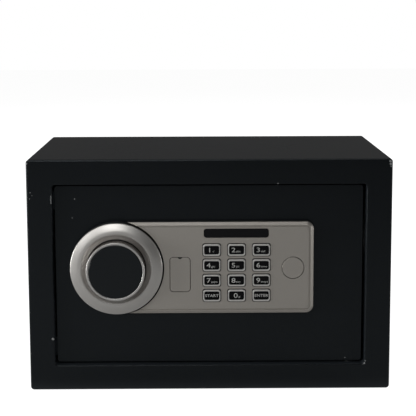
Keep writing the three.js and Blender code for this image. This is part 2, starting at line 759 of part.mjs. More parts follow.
function screwHead(under) {
  return turned(
    [
      [0, under],
      [SCREW.head, under],
      [SCREW.head, under + 1.3],
      [SCREW.head - 0.8, under + 2.2],
      [0, under + 2.2],
    ],
    0,
    0,
    16,
  );
}

add(door, "mechanism_cover", mechanismCover(), paintedSteel());
coverScrewPlaces.forEach(([x, z], i) =>
  add(door, `cover_screw_${i + 1}`, coverScrew(), zincSteel(), [x, 0, z]),
);

function batteryTray() {
  const { left, right, low, high, front, wall } = TRAY;
  const mouth = COVER.back - 0.2;
  return cut(
    block([left, front, low], [right, mouth, high]),
    block([left + wall, front + wall, low + wall], [right - wall, mouth + 1, high - wall]),
  );
}

add(door, "battery_tray", batteryTray(), blackPlastic());
const trayMid = { x: (TRAY.left + TRAY.right) / 2, z: (TRAY.low + TRAY.high) / 2 };
const cellY = TRAY.front + TRAY.wall + CELL.r + GAP;
for (const [i, across] of [-1, 1].entries())
  for (const [j, up] of [-1, 1].entries()) {
    const x = trayMid.x + across * 27;
    const z = trayMid.z + up * (CELL.r + 0.4);
    const body = barX(CELL.r, -CELL.length / 2, CELL.length / 2 - 1, 0, 0, 16);
    const cap = barX(2.7, CELL.length / 2 - 1.5, CELL.length / 2, 0, 0, 12);
    add(door, `battery_${2 * i + j + 1}`, join(body, cap), cellWrap(), [x, cellY, z]);
  }

function batteryDoor() {
  const y0 = COVER.back + GAP;
  const shape = roundedRect(TRAY.right - TRAY.left + 4, TRAY.high - TRAY.low + 4, 2, trayMid.x, trayMid.z);
  const ribs = [-2, -1, 0, 1, 2].map((n) =>
    block(
      [TRAY.right - 10 + 2 * n - 0.4, y0 + 1, trayMid.z - 8],
      [TRAY.right - 10 + 2 * n + 0.4, y0 + 2.4, trayMid.z + 8],
    ),
  );
  return join(plate(shape, y0, y0 + 1.8), ...ribs);
}

function resetButton() {
  const { x, z, r } = RESET;
  const inner = COVER.back - COVER.sheet - FIT;
  return join(
    barY(r, inner - 3, COVER.back + 1.5, x, z, 16),
    barY(r + 1.5, inner - 1.2, inner, x, z, 16),
  );
}

add(door, "battery_door", batteryDoor(), blackPlastic());
add(door, "reset_button", resetButton(), redPlastic());

// The leads from the board, through the door, to the battery tray and up to the solenoid.
function wireLoom() {
  const { x, z, r } = WIRE;
  const section = new THREE.Shape();
  section.absarc(0, 0, r, 0, 2 * Math.PI, false);
  const lead = (points, steps) =>
    solid(
      new THREE.ExtrudeGeometry(section, {
        steps,
        curveSegments: 4,
        bevelEnabled: false,
        extrudePath: new THREE.CatmullRomCurve3(points.map((p) => new THREE.Vector3(...p))),
      }),
    );
  const entry = [PLUNGER.x + COIL.w / 2 + FIT, DOOR_BACK + 6, z + 52];
  const toTray = lead(
    [
      [x, BOARD.back + FIT, z],
      [x, DOOR_FACE, z],
      [x, DOOR_BACK + 3, z - 1],
      [x, DOOR_BACK + 9, z - 9],
      [x, TRAY.front - 3, z - 12],
      [x, TRAY.front - FIT, z - 12],
    ],
    14,
  );
  const toCoil = lead(
    [
      [x + 1, DOOR_BACK + 2.6, z - 1],
      [x + 12, DOOR_BACK + 2.6, z + 1],
      [x + 22, DOOR_BACK + 2.6, z + 14],
      [x + 24, DOOR_BACK + 2.6, z + 34],
      [x + 23.5, DOOR_BACK + 4, z + 47],
      [entry[0] + 2.4, entry[1], entry[2]],
      entry,
    ],
    24,
  );
  return join(toTray, toCoil);
}

add(door, "wire_loom", wireLoom(), blackPlastic());

export default safe;
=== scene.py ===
"""A small in-room safe, dressed for a studio picture around its fixed frame.

Each sub-assembly is a class that builds its meshes and gives them their finishes. Lengths are
written in millimetres, as on a drawing, and scaled to metres when a mesh is made. +X is to the
right, +Y goes into the safe and +Z is up.
"""
import logging
import math
from dataclasses import dataclass
from enum import Enum
from typing import Any, Callable, Sequence

import bmesh
import bpy
from mathutils import Matrix, Vector


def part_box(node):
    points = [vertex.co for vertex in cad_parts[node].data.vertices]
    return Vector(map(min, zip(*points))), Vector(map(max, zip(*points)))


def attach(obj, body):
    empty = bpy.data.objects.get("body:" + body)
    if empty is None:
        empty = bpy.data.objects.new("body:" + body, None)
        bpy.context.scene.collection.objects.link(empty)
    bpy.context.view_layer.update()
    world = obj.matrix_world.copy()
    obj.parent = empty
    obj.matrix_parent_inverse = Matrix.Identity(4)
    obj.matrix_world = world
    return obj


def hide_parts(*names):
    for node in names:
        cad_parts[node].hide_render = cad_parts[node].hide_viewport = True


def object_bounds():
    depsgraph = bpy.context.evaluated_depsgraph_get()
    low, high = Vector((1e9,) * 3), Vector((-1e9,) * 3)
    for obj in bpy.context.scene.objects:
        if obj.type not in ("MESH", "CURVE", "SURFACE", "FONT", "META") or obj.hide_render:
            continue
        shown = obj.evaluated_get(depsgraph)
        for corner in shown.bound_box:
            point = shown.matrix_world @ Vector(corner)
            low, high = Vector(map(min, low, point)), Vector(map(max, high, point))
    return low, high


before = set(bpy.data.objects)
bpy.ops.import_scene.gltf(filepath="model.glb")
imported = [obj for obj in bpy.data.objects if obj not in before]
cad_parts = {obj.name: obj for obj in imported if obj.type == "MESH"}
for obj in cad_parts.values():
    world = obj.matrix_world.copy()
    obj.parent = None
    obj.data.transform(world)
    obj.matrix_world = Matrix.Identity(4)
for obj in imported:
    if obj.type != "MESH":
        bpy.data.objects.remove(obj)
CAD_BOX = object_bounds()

log = logging.getLogger("safe")

MM = 0.001
MERGE = 2e-6
CAD_MERGE = 5e-6
LOOM_X = 30.0

Colour = tuple[float, float, float]
Loop = list[Vector]
Point2 = tuple[float, float]


# ------------------------------------------------------------------ shader expressions
class Value:
    """A number, vector or colour in a node graph, which Python arithmetic can be written on."""

    def __init__(self, graph: "Graph", socket: bpy.types.NodeSocket) -> None:
        """Wraps an output socket of a graph."""
        self.graph = graph
        self.socket = socket

    def _math(self, operation: str, *operands: Any) -> "Value":
        """Adds a Math node on numbers or values."""
        return self.graph.node("ShaderNodeMath", {"operation": operation}, dict(enumerate(operands)))

    def __add__(self, other: Any) -> "Value":
        """The sum."""
        return self._math("ADD", self, other)

    __radd__ = __add__

    def __sub__(self, other: Any) -> "Value":
        """The difference."""
        return self._math("SUBTRACT", self, other)

    def __rsub__(self, other: Any) -> "Value":
        """The difference from a number."""
        return self._math("SUBTRACT", other, self)

    def __mul__(self, other: Any) -> "Value":
        """The product."""
        return self._math("MULTIPLY", self, other)

    __rmul__ = __mul__

    def __pow__(self, other: Any) -> "Value":
        """A power."""
        return self._math("POWER", self, other)

    def __lt__(self, other: Any) -> "Value":
        """1 where it is less, or else 0."""
        return self._math("LESS_THAN", self, other)

    def sine(self) -> "Value":
        """The sine of it, in radians."""
        return self._math("SINE", self)

    def most(self, other: Any) -> "Value":
        """The larger of the two."""
        return self._math("MAXIMUM", self, other)

    def ramp(self, low: float, high: float) -> "Value":
        """A smooth step.

        Args:
            low: where it starts to leave 0.
            high: where it reaches 1; it may be below low.

        Returns:
            A value from 0 to 1.
        """
        settings = {"interpolation_type": "SMOOTHSTEP"}
        ends = {"Value": self, "From Min": low, "From Max": high, "To Min": 0.0, "To Max": 1.0}
        return self.graph.node("ShaderNodeMapRange", settings, ends)

    def to(self, low: float, high: float) -> "Value":
        """Spreads a value that runs from 0 to 1 over another range."""
        return self * (high - low) + low

    def out(self, name: str) -> "Value":
        """Another output of the same node."""
        return Value(self.graph, self.socket.node.outputs[name])


class Graph:
    """The node graph of one material or world."""

    def __init__(self, owner: bpy.types.Material | bpy.types.World) -> None:
        """Empties the owner's graph.

        Args:
            owner: the material or world.
        """
        owner.use_nodes = True
        self.tree = owner.node_tree
        self.tree.nodes.clear()

    def node(
        self,
        kind: str,
        settings: dict[str, Any] | None = None,
        inputs: dict[str | int, Any] | None = None,
        output: str | int = 0,
    ) -> Value:
        """Adds any node.

        Args:
            kind: the node's type.
            settings: its own properties.
            inputs: the value or link of each socket, by name or number.
            output: the output wanted.

        Returns:
            That output.
        """
        made = self.tree.nodes.new(kind)
        for name, value in (settings or {}).items():
            setattr(made, name, value)
        for name, value in (inputs or {}).items():
            if isinstance(value, Value):
                self.tree.links.new(value.socket, made.inputs[name])
            else:
                made.inputs[name].default_value = value
        return Value(self, made.outputs[output]) if made.outputs else Value(self, made.inputs[0])

    def place(self) -> Value:
        """The point on the piece, in its own coordinates, in metres."""
        return self.node("ShaderNodeTexCoord", output="Object")

    def axes(self) -> tuple[Value, Value, Value]:
        """The point's X, Y and Z."""
        split = self.node("ShaderNodeSeparateXYZ", inputs={0: self.place()})
        return split, split.out("Y"), split.out("Z")

    def stretched(self, scale: Sequence[float]) -> Value:
        """The point with each axis scaled."""
        sizes = {"Vector": self.place(), "Scale": tuple(scale)}
        return self.node("ShaderNodeMapping", inputs=sizes)

    def noise(
        self, scale: float, detail: float = 2.0, rough: float = 0.5, at: Value | None = None
    ) -> Value:
        """Noise of a given fineness, from 0 to 1."""
        inputs = {"Vector": at or self.place(), "Scale": scale, "Detail": detail, "Roughness": rough}
        return self.node("ShaderNodeTexNoise", inputs=inputs)

    def cells(self, scale: float, output: str) -> Value:
        """A Voronoi pattern: its Distance or its Color."""
        inputs = {"Vector": self.place(), "Scale": scale}
        return self.node("ShaderNodeTexVoronoi", inputs=inputs, output=output)

    def mix(self, first: Any, second: Any, share: Any) -> Value:
        """One colour turning into another.

        Args:
            first: the colour where share is 0.
            second: the colour where share is 1.
            share: how far it has turned.

        Returns:
            The colour between them.
        """
        ends = [(*end, 1.0) if isinstance(end, tuple) else end for end in (first, second)]
        settings = {"data_type": "RGBA", "clamp_factor": True}
        return self.node("ShaderNodeMix", settings, {0: share, 6: ends[0], 7: ends[1]}, output=2)

    def relief(self, height: Value, depth_mm: float, strength: float = 1.0) -> Value:
        """A normal from a height of 0 to 1 that stands depth_mm tall."""
        inputs = {"Height": height, "Distance": depth_mm * MM, "Strength": strength}
        return self.node("ShaderNodeBump", inputs=inputs)

    def surface(self, **sockets: Any) -> None:
        """Ends the graph in a surface shader.

        Args:
            sockets: what each socket gets, such as base_color or coat_weight.
        """
        inputs = {}
        for name, value in sockets.items():
            label = name.replace("_", " ").title().replace("Ior", "IOR")
            inputs[label] = (*value, 1.0) if isinstance(value, tuple) else value
        shader = self.node("ShaderNodeBsdfPrincipled", inputs=inputs)
        self.node("ShaderNodeOutputMaterial", inputs={"Surface": shader})


# ------------------------------------------------------------------ finishes
@dataclass(frozen=True)
class Finish:
    """A finish that a piece can be given."""

    name: str
    colour: Colour
    roughness: float = 0.5

    def material(self) -> bpy.types.Material:
        """The finish as a material, made once.

        Returns:
            The material.
        """
        name = self.name + "_finish"
        made = bpy.data.materials.get(name)
        if made is None:
            made = bpy.data.materials.new(name)
            self.paint(Graph(made))
        return made

    def paint(self, g: Graph) -> None:
        """Fills the material's graph."""
        raise NotImplementedError

    def shade(self, share: float) -> Colour:
        """The colour made lighter or darker."""
        return tuple(min(1.0, channel * share) for channel in self.colour)


@dataclass(frozen=True)
class ChipAndHighlight:
    """A small pale spot in paint, at a place in millimetres: mostly a knock through to the primer; at the
    cabinet's top right corner and the opening's lower right corner, a painted highlight as well.
    """

    x: float
    y: float
    z: float
    radius: float


@dataclass(frozen=True)
class PowderCoat(Finish):
    """Baked powder paint: a fine orange-peel surface, faint dust, and a few pale spots: knocks, and at two
    corners of the cabinet painted highlights.
    """

    peel: float = 900.0
    primer_and_highlight: Colour = (0.22, 0.225, 0.225)
    chips_and_highlights: tuple[ChipAndHighlight, ...] = ()
    dust: Colour = (0.09, 0.09, 0.088)
    shine: float = 0.29
    tint: Colour = (0.84, 0.94, 1.0)

    def paint(self, g: Graph) -> None:
        """Fills the material's graph.

        Args:
            g: the graph.
        """
        peel = g.noise(self.peel, 2.0, 0.55)
        fine = g.noise(self.peel * 4.2, 1.0)
        cloud = g.noise(9.0, 3.0, 0.6)
        dust = g.noise(2600.0, 1.0).ramp(0.70, 0.78) * cloud.ramp(0.45, 0.75)
        colour = g.mix(self.shade(0.86), self.shade(1.16), cloud)
        colour = g.mix(colour, self.dust, dust * 0.35)
        rough = (cloud * 0.5 + fine * 0.5).to(self.roughness - 0.05, self.roughness + 0.07)
        height = peel * 0.75 + fine * 0.25
        # Each spot turns to the primer colour, rougher and sunk a little: a knock in the paint, and at two
        # corners of the cabinet a painted highlight.
        for mark in self.chips_and_highlights:
            spot = self._spot(g, mark)
            colour = g.mix(colour, self.primer_and_highlight, spot)
            rough = rough + spot * 0.2
            height = height - spot * 1.5
        g.surface(
            base_color=colour,
            roughness=rough,
            normal=g.relief(height, 0.012, 0.55),
            specular_ior_level=self.shine,
            specular_tint=self.tint,
        )

    @staticmethod
    def _spot(g: Graph, mark: ChipAndHighlight) -> Value:
        """The ragged spot where one knock or painted highlight is.

        Args:
            g: the graph.
            mark: the spot.

        Returns:
            1 inside the spot, or else 0.
        """
        centre = (mark.x * MM, mark.y * MM, mark.z * MM)
        away = g.node("ShaderNodeVectorMath", {"operation": "DISTANCE"}, {0: g.place(), 1: centre}, "Value")
        ragged = g.noise(1400.0, 2.0).to(0.45, 1.5) * (mark.radius * MM)
        return away < ragged


@dataclass(frozen=True)
class SilverLacquer(Finish):
    """Silver lacquer with fine flake, turning dark behind a given depth: painted shade in the gaps round
    the keys, the port cover and the keyhole cap, and the darker side walls of the fascia.
    """

    flake: float = 5200.0
    dark_behind: float | None = None
    dark_colour: Colour = (0.012, 0.012, 0.013)
    metal: float = 0.72
    fade: float = 0.25

    def paint(self, g: Graph) -> None:
        """Fills the material's graph.

        Args:
            g: the graph.
        """
        flake = g.cells(self.flake, "Color")
        glint = g.node("ShaderNodeSeparateXYZ", inputs={0: flake})
        cloud = g.noise(26.0, 2.0)
        skin = g.noise(700.0, 2.0)
        colour = g.mix(self.shade(0.93), self.shade(1.07), glint * 0.6 + cloud * 0.4)
        rough = (glint * 0.6 + skin * 0.4).to(self.roughness - 0.05, self.roughness + 0.06)
        metal: Any = self.metal
        # Painted shade: behind the given depth the silver turns dark and loses its metal, for the gaps
        # round the keys, port cover and keyhole cap; on the fascia it darkens the side walls.
        if self.dark_behind is not None:
            _, deep, _ = g.axes()
            ragged = deep + g.noise(300.0) * 0.0003
            darkened = ragged.ramp(self.dark_behind * MM, (self.dark_behind + self.fade) * MM)
            colour = g.mix(colour, self.dark_colour, darkened)
            rough = rough + darkened * 0.1
            metal = self.metal - darkened * self.metal
        normal = g.relief(glint * 0.5 + skin * 0.5, 0.006, 0.5)
        g.surface(base_color=colour, roughness=rough, metallic=metal, normal=normal)


@dataclass(frozen=True)
class TurnedSilver(Finish):
    """Satin silver with fine rings from turning, round an axis along Y."""

    centre: Point2 = (0.0, 0.0)
    pitch: float = 0.16
    metal: float = 0.9

    def paint(self, g: Graph) -> None:
        """Fills the material's graph.

        Args:
            g: the graph.
        """
        x, y, z = g.axes()
        across, up = x - self.centre[0] * MM, z - self.centre[1] * MM
        radius = (across * across + up * up) ** 0.5
        along = g.node("ShaderNodeCombineXYZ", inputs={0: radius, 1: y * 0.6, 2: 0.0})
        rings = g.noise(1.0 / (self.pitch * MM), 2.0, 0.7, along)
        cloud = g.noise(40.0, 2.0)
        wear = g.noise(2400.0, 1.0)
        colour = g.mix(self.shade(0.92), self.shade(1.08), rings * 0.7 + cloud * 0.3)
        rough = (rings * 0.6 + wear * 0.4).to(self.roughness - 0.06, self.roughness + 0.06)
        normal = g.relief(rings * 0.8 + wear * 0.2, 0.004, 0.5)
        g.surface(base_color=colour, roughness=rough, metallic=self.metal, normal=normal)


@dataclass(frozen=True)
class BlackGloss(Finish):
    """Polished black plastic with the faintest haze and dust."""

    shine: float = 0.45

    def paint(self, g: Graph) -> None:
        """Fills the material's graph.

        Args:
            g: the graph.
        """
        haze = g.noise(55.0, 3.0, 0.6)
        specks = g.noise(3200.0, 1.0).ramp(0.72, 0.78)
        colour = g.mix(self.colour, (0.06, 0.06, 0.06), specks * 0.25)
        rough = haze.to(self.roughness - 0.03, self.roughness + 0.06) + specks * 0.2
        normal = g.relief(g.noise(420.0, 1.0), 0.003, 0.3)
        g.surface(base_color=colour, roughness=rough, normal=normal, specular_ior_level=self.shine)


@dataclass(frozen=True)
class Moulded(Finish):
    """Moulded plastic or rubber with a spark-eroded grain."""

    grain: float = 2600.0
    depth: float = 0.02

    def paint(self, g: Graph) -> None:
        """Fills the material's graph.

        Args:
            g: the graph.
        """
        grain = g.cells(self.grain, "Distance")
        cloud = g.noise(60.0, 2.0)
        colour = g.mix(self.shade(0.88), self.shade(1.12), cloud * 0.6 + grain * 0.4)
        rough = (grain * 0.5 + cloud * 0.5).to(self.roughness - 0.06, self.roughness + 0.08)
        g.surface(base_color=colour, roughness=rough, normal=g.relief(grain, self.depth, 0.5))


@dataclass(frozen=True)
class ZincPlate(Finish):
    """Bright zinc on steel: soft spangle, faint yellow passivation and rolling lines."""

    def paint(self, g: Graph) -> None:
        """Fills the material's graph.

        Args:
            g: the graph.
        """
        spangle = g.node("ShaderNodeSeparateXYZ", inputs={0: g.cells(240.0, "Color")})
        lines = g.noise(900.0, 2.0, 0.6, g.stretched((1.0, 1.0, 0.08)))
        cloud = g.noise(45.0, 3.0)
        colour = g.mix(self.shade(0.88), self.shade(1.08), spangle * 0.4 + lines * 0.6)
        colour = g.mix(colour, (0.58, 0.53, 0.38), cloud.ramp(0.5, 0.85) * 0.35)
        rough = (lines * 0.5 + cloud * 0.5).to(self.roughness - 0.08, self.roughness + 0.1)
        g.surface(base_color=colour, roughness=rough, metallic=1.0, normal=g.relief(lines, 0.004, 0.4))


@dataclass(frozen=True)
class Brass(Finish):
    """Machined brass, browning a little where it isn't rubbed."""

    def paint(self, g: Graph) -> None:
        """Fills the material's graph.

        Args:
            g: the graph.
        """
        tarnish = g.noise(130.0, 4.0, 0.6)
        lines = g.noise(5200.0, 1.0, 0.5, g.stretched((1.0, 0.1, 1.0)))
        colour = g.mix(self.colour, (0.24, 0.15, 0.06), tarnish.ramp(0.45, 0.8) * 0.6)
        rough = (lines * 0.4 + tarnish * 0.6).to(self.roughness - 0.06, self.roughness + 0.14)
        g.surface(base_color=colour, roughness=rough, metallic=1.0, normal=g.relief(lines, 0.003, 0.4))


@dataclass(frozen=True)
class NeedleFelt(Finish):
    """Matted felt fibres, lying both ways, with a little lint."""

    def paint(self, g: Graph) -> None:
        """Fills the material's graph.

        Args:
            g: the graph.
        """
        one_way = g.noise(1500.0, 3.0, 0.7, g.stretched((1.0, 0.12, 1.0)))
        other_way = g.noise(1500.0, 3.0, 0.7, g.stretched((0.12, 1.0, 1.0)))
        fibre = one_way.most(other_way)
        tuft = g.noise(190.0, 3.0, 0.6)
        lint = g.noise(2100.0, 1.0).ramp(0.73, 0.78)
        colour = g.mix(self.shade(0.55), self.shade(1.5), fibre * 0.6 + tuft * 0.4)
        colour = g.mix(colour, (0.25, 0.25, 0.26), lint * 0.5)
        g.surface(
            base_color=colour,
            roughness=fibre.to(0.86, 1.0),
            normal=g.relief(fibre * 0.7 + tuft * 0.3, 0.35, 0.8),
            sheen_weight=0.25,
            sheen_roughness=0.5,
        )


@dataclass(frozen=True)
class SolderMask(Finish):
    """A circuit board: green mask over copper tracks, and bare pads on a grid."""

    track: float = 2.2

    def paint(self, g: Graph) -> None:
        """Fills the material's graph.

        Args:
            g: the graph.
        """
        x, _, z = g.axes()
        turn = math.tau / (self.track * MM)
        bends = (g.noise(60.0, 1.0) * 14.0).sine() * 0.8
        tracks = (x * turn + bends).sine().ramp(0.35, 0.55)
        rungs = (z * turn * 0.5).sine().ramp(0.8, 0.9)
        copper = tracks.most(rungs)
        pads = (x * turn * 0.5).sine().ramp(0.93, 0.96) * (z * turn * 0.5).sine().ramp(0.93, 0.96)
        colour = g.mix(self.colour, self.shade(1.9), copper)
        colour = g.mix(colour, (0.66, 0.64, 0.6), pads)
        rough = self.roughness - pads * 0.12
        normal = g.relief(copper * 0.6 + pads * 0.4, 0.04)
        g.surface(base_color=colour, roughness=rough, normal=normal, metallic=pads)


@dataclass(frozen=True)
class CellSleeve(Finish):
    """The printed foil sleeve of a dry cell: a coloured body with a band at its positive end."""

    band_from: float = 0.0
    band_colour: Colour = (0.55, 0.36, 0.12)

    def paint(self, g: Graph) -> None:
        """Fills the material's graph.

        Args:
            g: the graph.
        """
        x, _, _ = g.axes()
        band = (x - self.band_from * MM).ramp(-0.0001, 0.0001)
        scuff = g.noise(420.0, 3.0, 0.6, g.stretched((0.3, 1.0, 1.0)))
        colour = g.mix(self.colour, self.band_colour, band)
        colour = g.mix(colour, (0.55, 0.55, 0.55), scuff.ramp(0.66, 0.8) * 0.5)
        rough = scuff.to(self.roughness - 0.08, self.roughness + 0.12)
        g.surface(base_color=colour, roughness=rough, metallic=0.55, normal=g.relief(scuff, 0.006, 0.4))


@dataclass(frozen=True)
class KeyInk(Finish):
    """White screen-printed ink, a little worn."""

    def paint(self, g: Graph) -> None:
        """Fills the material's graph.

        Args:
            g: the graph.
        """
        wear = g.noise(3000.0, 2.0, 0.6)
        colour = g.mix(self.colour, self.shade(0.72), wear.ramp(0.5, 0.75))
        g.surface(base_color=colour, roughness=wear.to(0.45, 0.65), normal=g.relief(wear, 0.004, 0.5))


# ------------------------------------------------------------------ outlines and meshes
class Outline:
    """A closed outline in X and Z that can be drawn larger or smaller at any depth."""

    def loop(self, grow: float, y: float) -> Loop:
        """The outline's points.

        Args:
            grow: how far outside the outline they lie, in millimetres.
            y: the depth, in millimetres.

        Returns:
            The points, anticlockwise as seen from the front.
        """
        raise NotImplementedError

    def path(
        self, points: Sequence[Point2], soft: float = 0.0, steps: int = 4, closed: bool = False
    ) -> list[Loop]:
        """The loops along a section, with its corners rounded.

        Args:
            points: the section's corners, as (grow, y).
            soft: the radius at its corners, in millimetres.
            steps: how many flats make a rounded corner.
            closed: whether the section joins up with its start.

        Returns:
            One loop for each point of the rounded section.
        """
        return [self.loop(grow, y) for grow, y in rounded_section(points, soft, steps, closed)]


def rounded_section(points: Sequence[Point2], soft: float, steps: int, closed: bool) -> list[Point2]:
    """Rounds the corners of a section, each as far as its sides allow.

    Args:
        points: the corners.
        soft: the radius wanted.
        steps: how many flats make a rounded corner.
        closed: whether the section joins up with its start.

    Returns:
        The points of the rounded section.
    """
    corners = [Vector(point) for point in points]
    made: list[Point2] = []
    for i, here in enumerate(corners):
        if not closed and i in (0, len(corners) - 1):
            made.append(tuple(here))
            continue
        before, after = corners[i - 1] - here, corners[(i + 1) % len(corners)] - here
        cosine = max(-1.0, min(1.0, before.normalized().dot(after.normalized())))
        half = math.acos(cosine) / 2
        if soft <= 0 or half > math.pi / 2 - 0.04:
            made.append(tuple(here))
            continue
        reach = min(soft / math.tan(half), 0.48 * before.length, 0.48 * after.length)
        radius = reach * math.tan(half)
        middle = here + (before.normalized() + after.normalized()).normalized() * (radius / math.sin(half))
        start = here + before.normalized() * reach - middle
        end = here + after.normalized() * reach - middle
        sweep = math.pi - 2 * half
        for step in range(steps + 1):
            share = step / steps
            arm = start * math.sin((1 - share) * sweep) + end * math.sin(share * sweep)
            made.append(tuple(middle + arm / math.sin(sweep)))
    return made


@dataclass(frozen=True)
class RoundedRect(Outline):
    """A rectangle with rounded corners, round a centre."""

    width: float
    height: float
    radius: float
    x: float = 0.0
    z: float = 100.0
    flats: int = 8

    def loop(self, grow: float, y: float) -> Loop:
        """The outline's points.

        Args:
            grow: how far outside the outline they lie, in millimetres; a circle's radius.
            y: the depth, in millimetres.

        Returns:
            The points, anticlockwise as seen from the front.
        """
        half_w, half_h = self.width / 2 + grow, self.height / 2 + grow
        radius = max(self.radius + grow, 0.02)
        made = []
        for quarter, (sx, sz) in enumerate(((1, -1), (1, 1), (-1, 1), (-1, -1))):
            for flat in range(self.flats + 1):
                angle = math.pi / 2 * (quarter - 1 + flat / self.flats)
                x = self.x + sx * (half_w - radius) + radius * math.cos(angle)
                z = self.z + sz * (half_h - radius) + radius * math.sin(angle)
                made.append(Vector((x, y, z)) * MM)
        return made


@dataclass(frozen=True)
class Circle(Outline):
    """A circle round an axis along Y; grow is its radius."""

    x: float
    z: float
    sides: int = 160

    def loop(self, grow: float, y: float) -> Loop:
        """The outline's points.

        Args:
            grow: how far outside the outline they lie, in millimetres; a circle's radius.
            y: the depth, in millimetres.

        Returns:
            The points, anticlockwise as seen from the front.
        """
        made = []
        for side in range(self.sides):
            turn = math.tau * side / self.sides
            x, z = self.x + grow * math.cos(turn), self.z + grow * math.sin(turn)
            made.append(Vector((x, y, z)) * MM)
        return made


@dataclass(frozen=True)
class FasciaOutline(Outline):
    """A plate with a straight left end and two rounded corners at its right."""

    left: float
    right: float
    low: float
    high: float
    radius: float
    flats: int = 14

    def loop(self, grow: float, y: float) -> Loop:
        """The outline's points.

        Args:
            grow: how far outside the outline they lie, in millimetres; a circle's radius.
            y: the depth, in millimetres.

        Returns:
            The points, anticlockwise as seen from the front.
        """
        right, low, high = self.right + grow, self.low - grow, self.high + grow
        radius = max(self.radius + grow, 0.02)
        flat = Vector((self.left, y, low)) * MM
        made = [flat]
        for quarter, z in enumerate((low + radius, high - radius)):
            for step in range(self.flats + 1):
                angle = math.pi / 2 * (quarter - 1 + step / self.flats)
                x = right - radius + radius * math.cos(angle)
                made.append(Vector((x, y, z + radius * math.sin(angle))) * MM)
        made.append(Vector((self.left, y, high)) * MM)
        return made


def new_object(name: str, mesh: bpy.types.Mesh) -> bpy.types.Object:
    """Puts a mesh into the scene.

    Args:
        name: the object's name.
        mesh: the mesh.

    Returns:
        The object.
    """
    made = bpy.data.objects.new(name, mesh)
    bpy.context.scene.collection.objects.link(made)
    return made


def mesh_of(name: str, shape: bmesh.types.BMesh) -> bpy.types.Object:
    """Ends a shape: merges it, turns its faces outwards and puts it into the scene.

    Args:
        name: the object's name.
        shape: the shape, which is freed.

    Returns:
        The object.
    """
    bmesh.ops.remove_doubles(shape, verts=shape.verts, dist=MERGE)
    bmesh.ops.recalc_face_normals(shape, faces=shape.faces)
    mesh = bpy.data.meshes.new(name)
    shape.to_mesh(mesh)
    shape.free()
    return new_object(name, mesh)


def swept(name: str, loops: Sequence[Loop], closed: bool = False) -> bpy.types.Object:
    """Skins a row of loops that have the same number of points.

    Args:
        name: the object's name.
        loops: the loops, in order.
        closed: whether the last loop joins the first, as on a ring. Otherwise both ends are filled.

    Returns:
        The object.
    """
    shape = bmesh.new()
    rings = [[shape.verts.new(point) for point in loop] for loop in loops]
    pairs = list(zip(rings, rings[1:])) + ([(rings[-1], rings[0])] if closed else [])
    for one, two in pairs:
        for i in range(len(one)):
            j = (i + 1) % len(one)
            shape.faces.new((one[i], one[j], two[j], two[i]))
    if not closed:
        shape.faces.new(rings[0])
        shape.faces.new(rings[-1])
    return mesh_of(name, shape)


def bar(
    name: str,
    start: Sequence[float],
    end: Sequence[float],
    section: Sequence[Point2],
    sides: int = 64,
) -> bpy.types.Object:
    """Turns a section round the line between two points.

    Args:
        name: the object's name.
        start: where the axis starts, in millimetres.
        end: where it ends.
        section: the section as (radius, distance from start); a radius of 0 closes an end.
        sides: how many flats it has.

    Returns:
        The object.
    """
    axis = (Vector(end) - Vector(start)).normalized()
    side = axis.orthogonal().normalized()
    other = axis.cross(side)
    shape = bmesh.new()
    rings = []
    for radius, along in section:
        middle = Vector(start) + axis * along
        if radius <= 0:
            rings.append([shape.verts.new(middle * MM)])
            continue
        turns = [math.tau * i / sides for i in range(sides)]
        ring = [middle + (side * math.cos(t) + other * math.sin(t)) * radius for t in turns]
        rings.append([shape.verts.new(point * MM) for point in ring])
    for one, two in zip(rings, rings[1:]):
        for i in range(sides):
            j = (i + 1) % sides
            corners = [one[i % len(one)], one[j % len(one)], two[j % len(two)], two[i % len(two)]]
            shape.faces.new(list(dict.fromkeys(corners)))
    return mesh_of(name, shape)


def box(name: str, low: Sequence[float], high: Sequence[float]) -> bpy.types.Object:
    """A block used to cut or to build on.

    Args:
        name: the object's name.
        low: its lowest corner, in millimetres.
        high: its highest corner.

    Returns:
        The object.
    """
    shape = bmesh.new()
    bmesh.ops.create_cube(shape, size=1.0)
    size = Vector(high) - Vector(low)
    middle = (Vector(high) + Vector(low)) / 2
    bmesh.ops.transform(
        shape,
        verts=shape.verts,
        matrix=Matrix.Translation(middle * MM) @ Matrix.Diagonal((*(size * MM), 1.0)),
    )
    return mesh_of(name, shape)


def baked(piece: bpy.types.Object) -> bpy.types.Object:
    """Turns a piece with its modifiers into a plain mesh.

    Args:
        piece: the piece.

    Returns:
        The piece.
    """
    bpy.context.view_layer.update()
    depsgraph = bpy.context.evaluated_depsgraph_get()
    mesh = bpy.data.meshes.new_from_object(piece.evaluated_get(depsgraph))
    piece.modifiers.clear()
    piece.data = mesh
    return piece


def joined(name: str, pieces: Sequence[bpy.types.Object]) -> bpy.types.Object:
    """Puts several meshes together as one object.

    Args:
        name: the object's name.
        pieces: the objects, which are removed.

    Returns:
        The object.
    """
    shape = bmesh.new()
    for piece in pieces:
        shape.from_mesh(piece.data)
        bpy.data.objects.remove(piece)
    mesh = bpy.data.meshes.new(name)
    shape.to_mesh(mesh)
    shape.free()
    return new_object(name, mesh)


def carved(piece: bpy.types.Object, cutters: Sequence[bpy.types.Object]) -> bpy.types.Object:
    """Cuts holes in a piece.

    Args:
        piece: the piece.
        cutters: what is cut out of it, which is removed afterwards.

    Returns:
        The piece.
    """
    for cutter in cutters:
        cut = piece.modifiers.new("cut", "BOOLEAN")
        cut.operation = "DIFFERENCE"
        cut.solver = "EXACT"
        cut.object = cutter
    baked(piece)
    for cutter in cutters:
        bpy.data.objects.remove(cutter)
    return piece


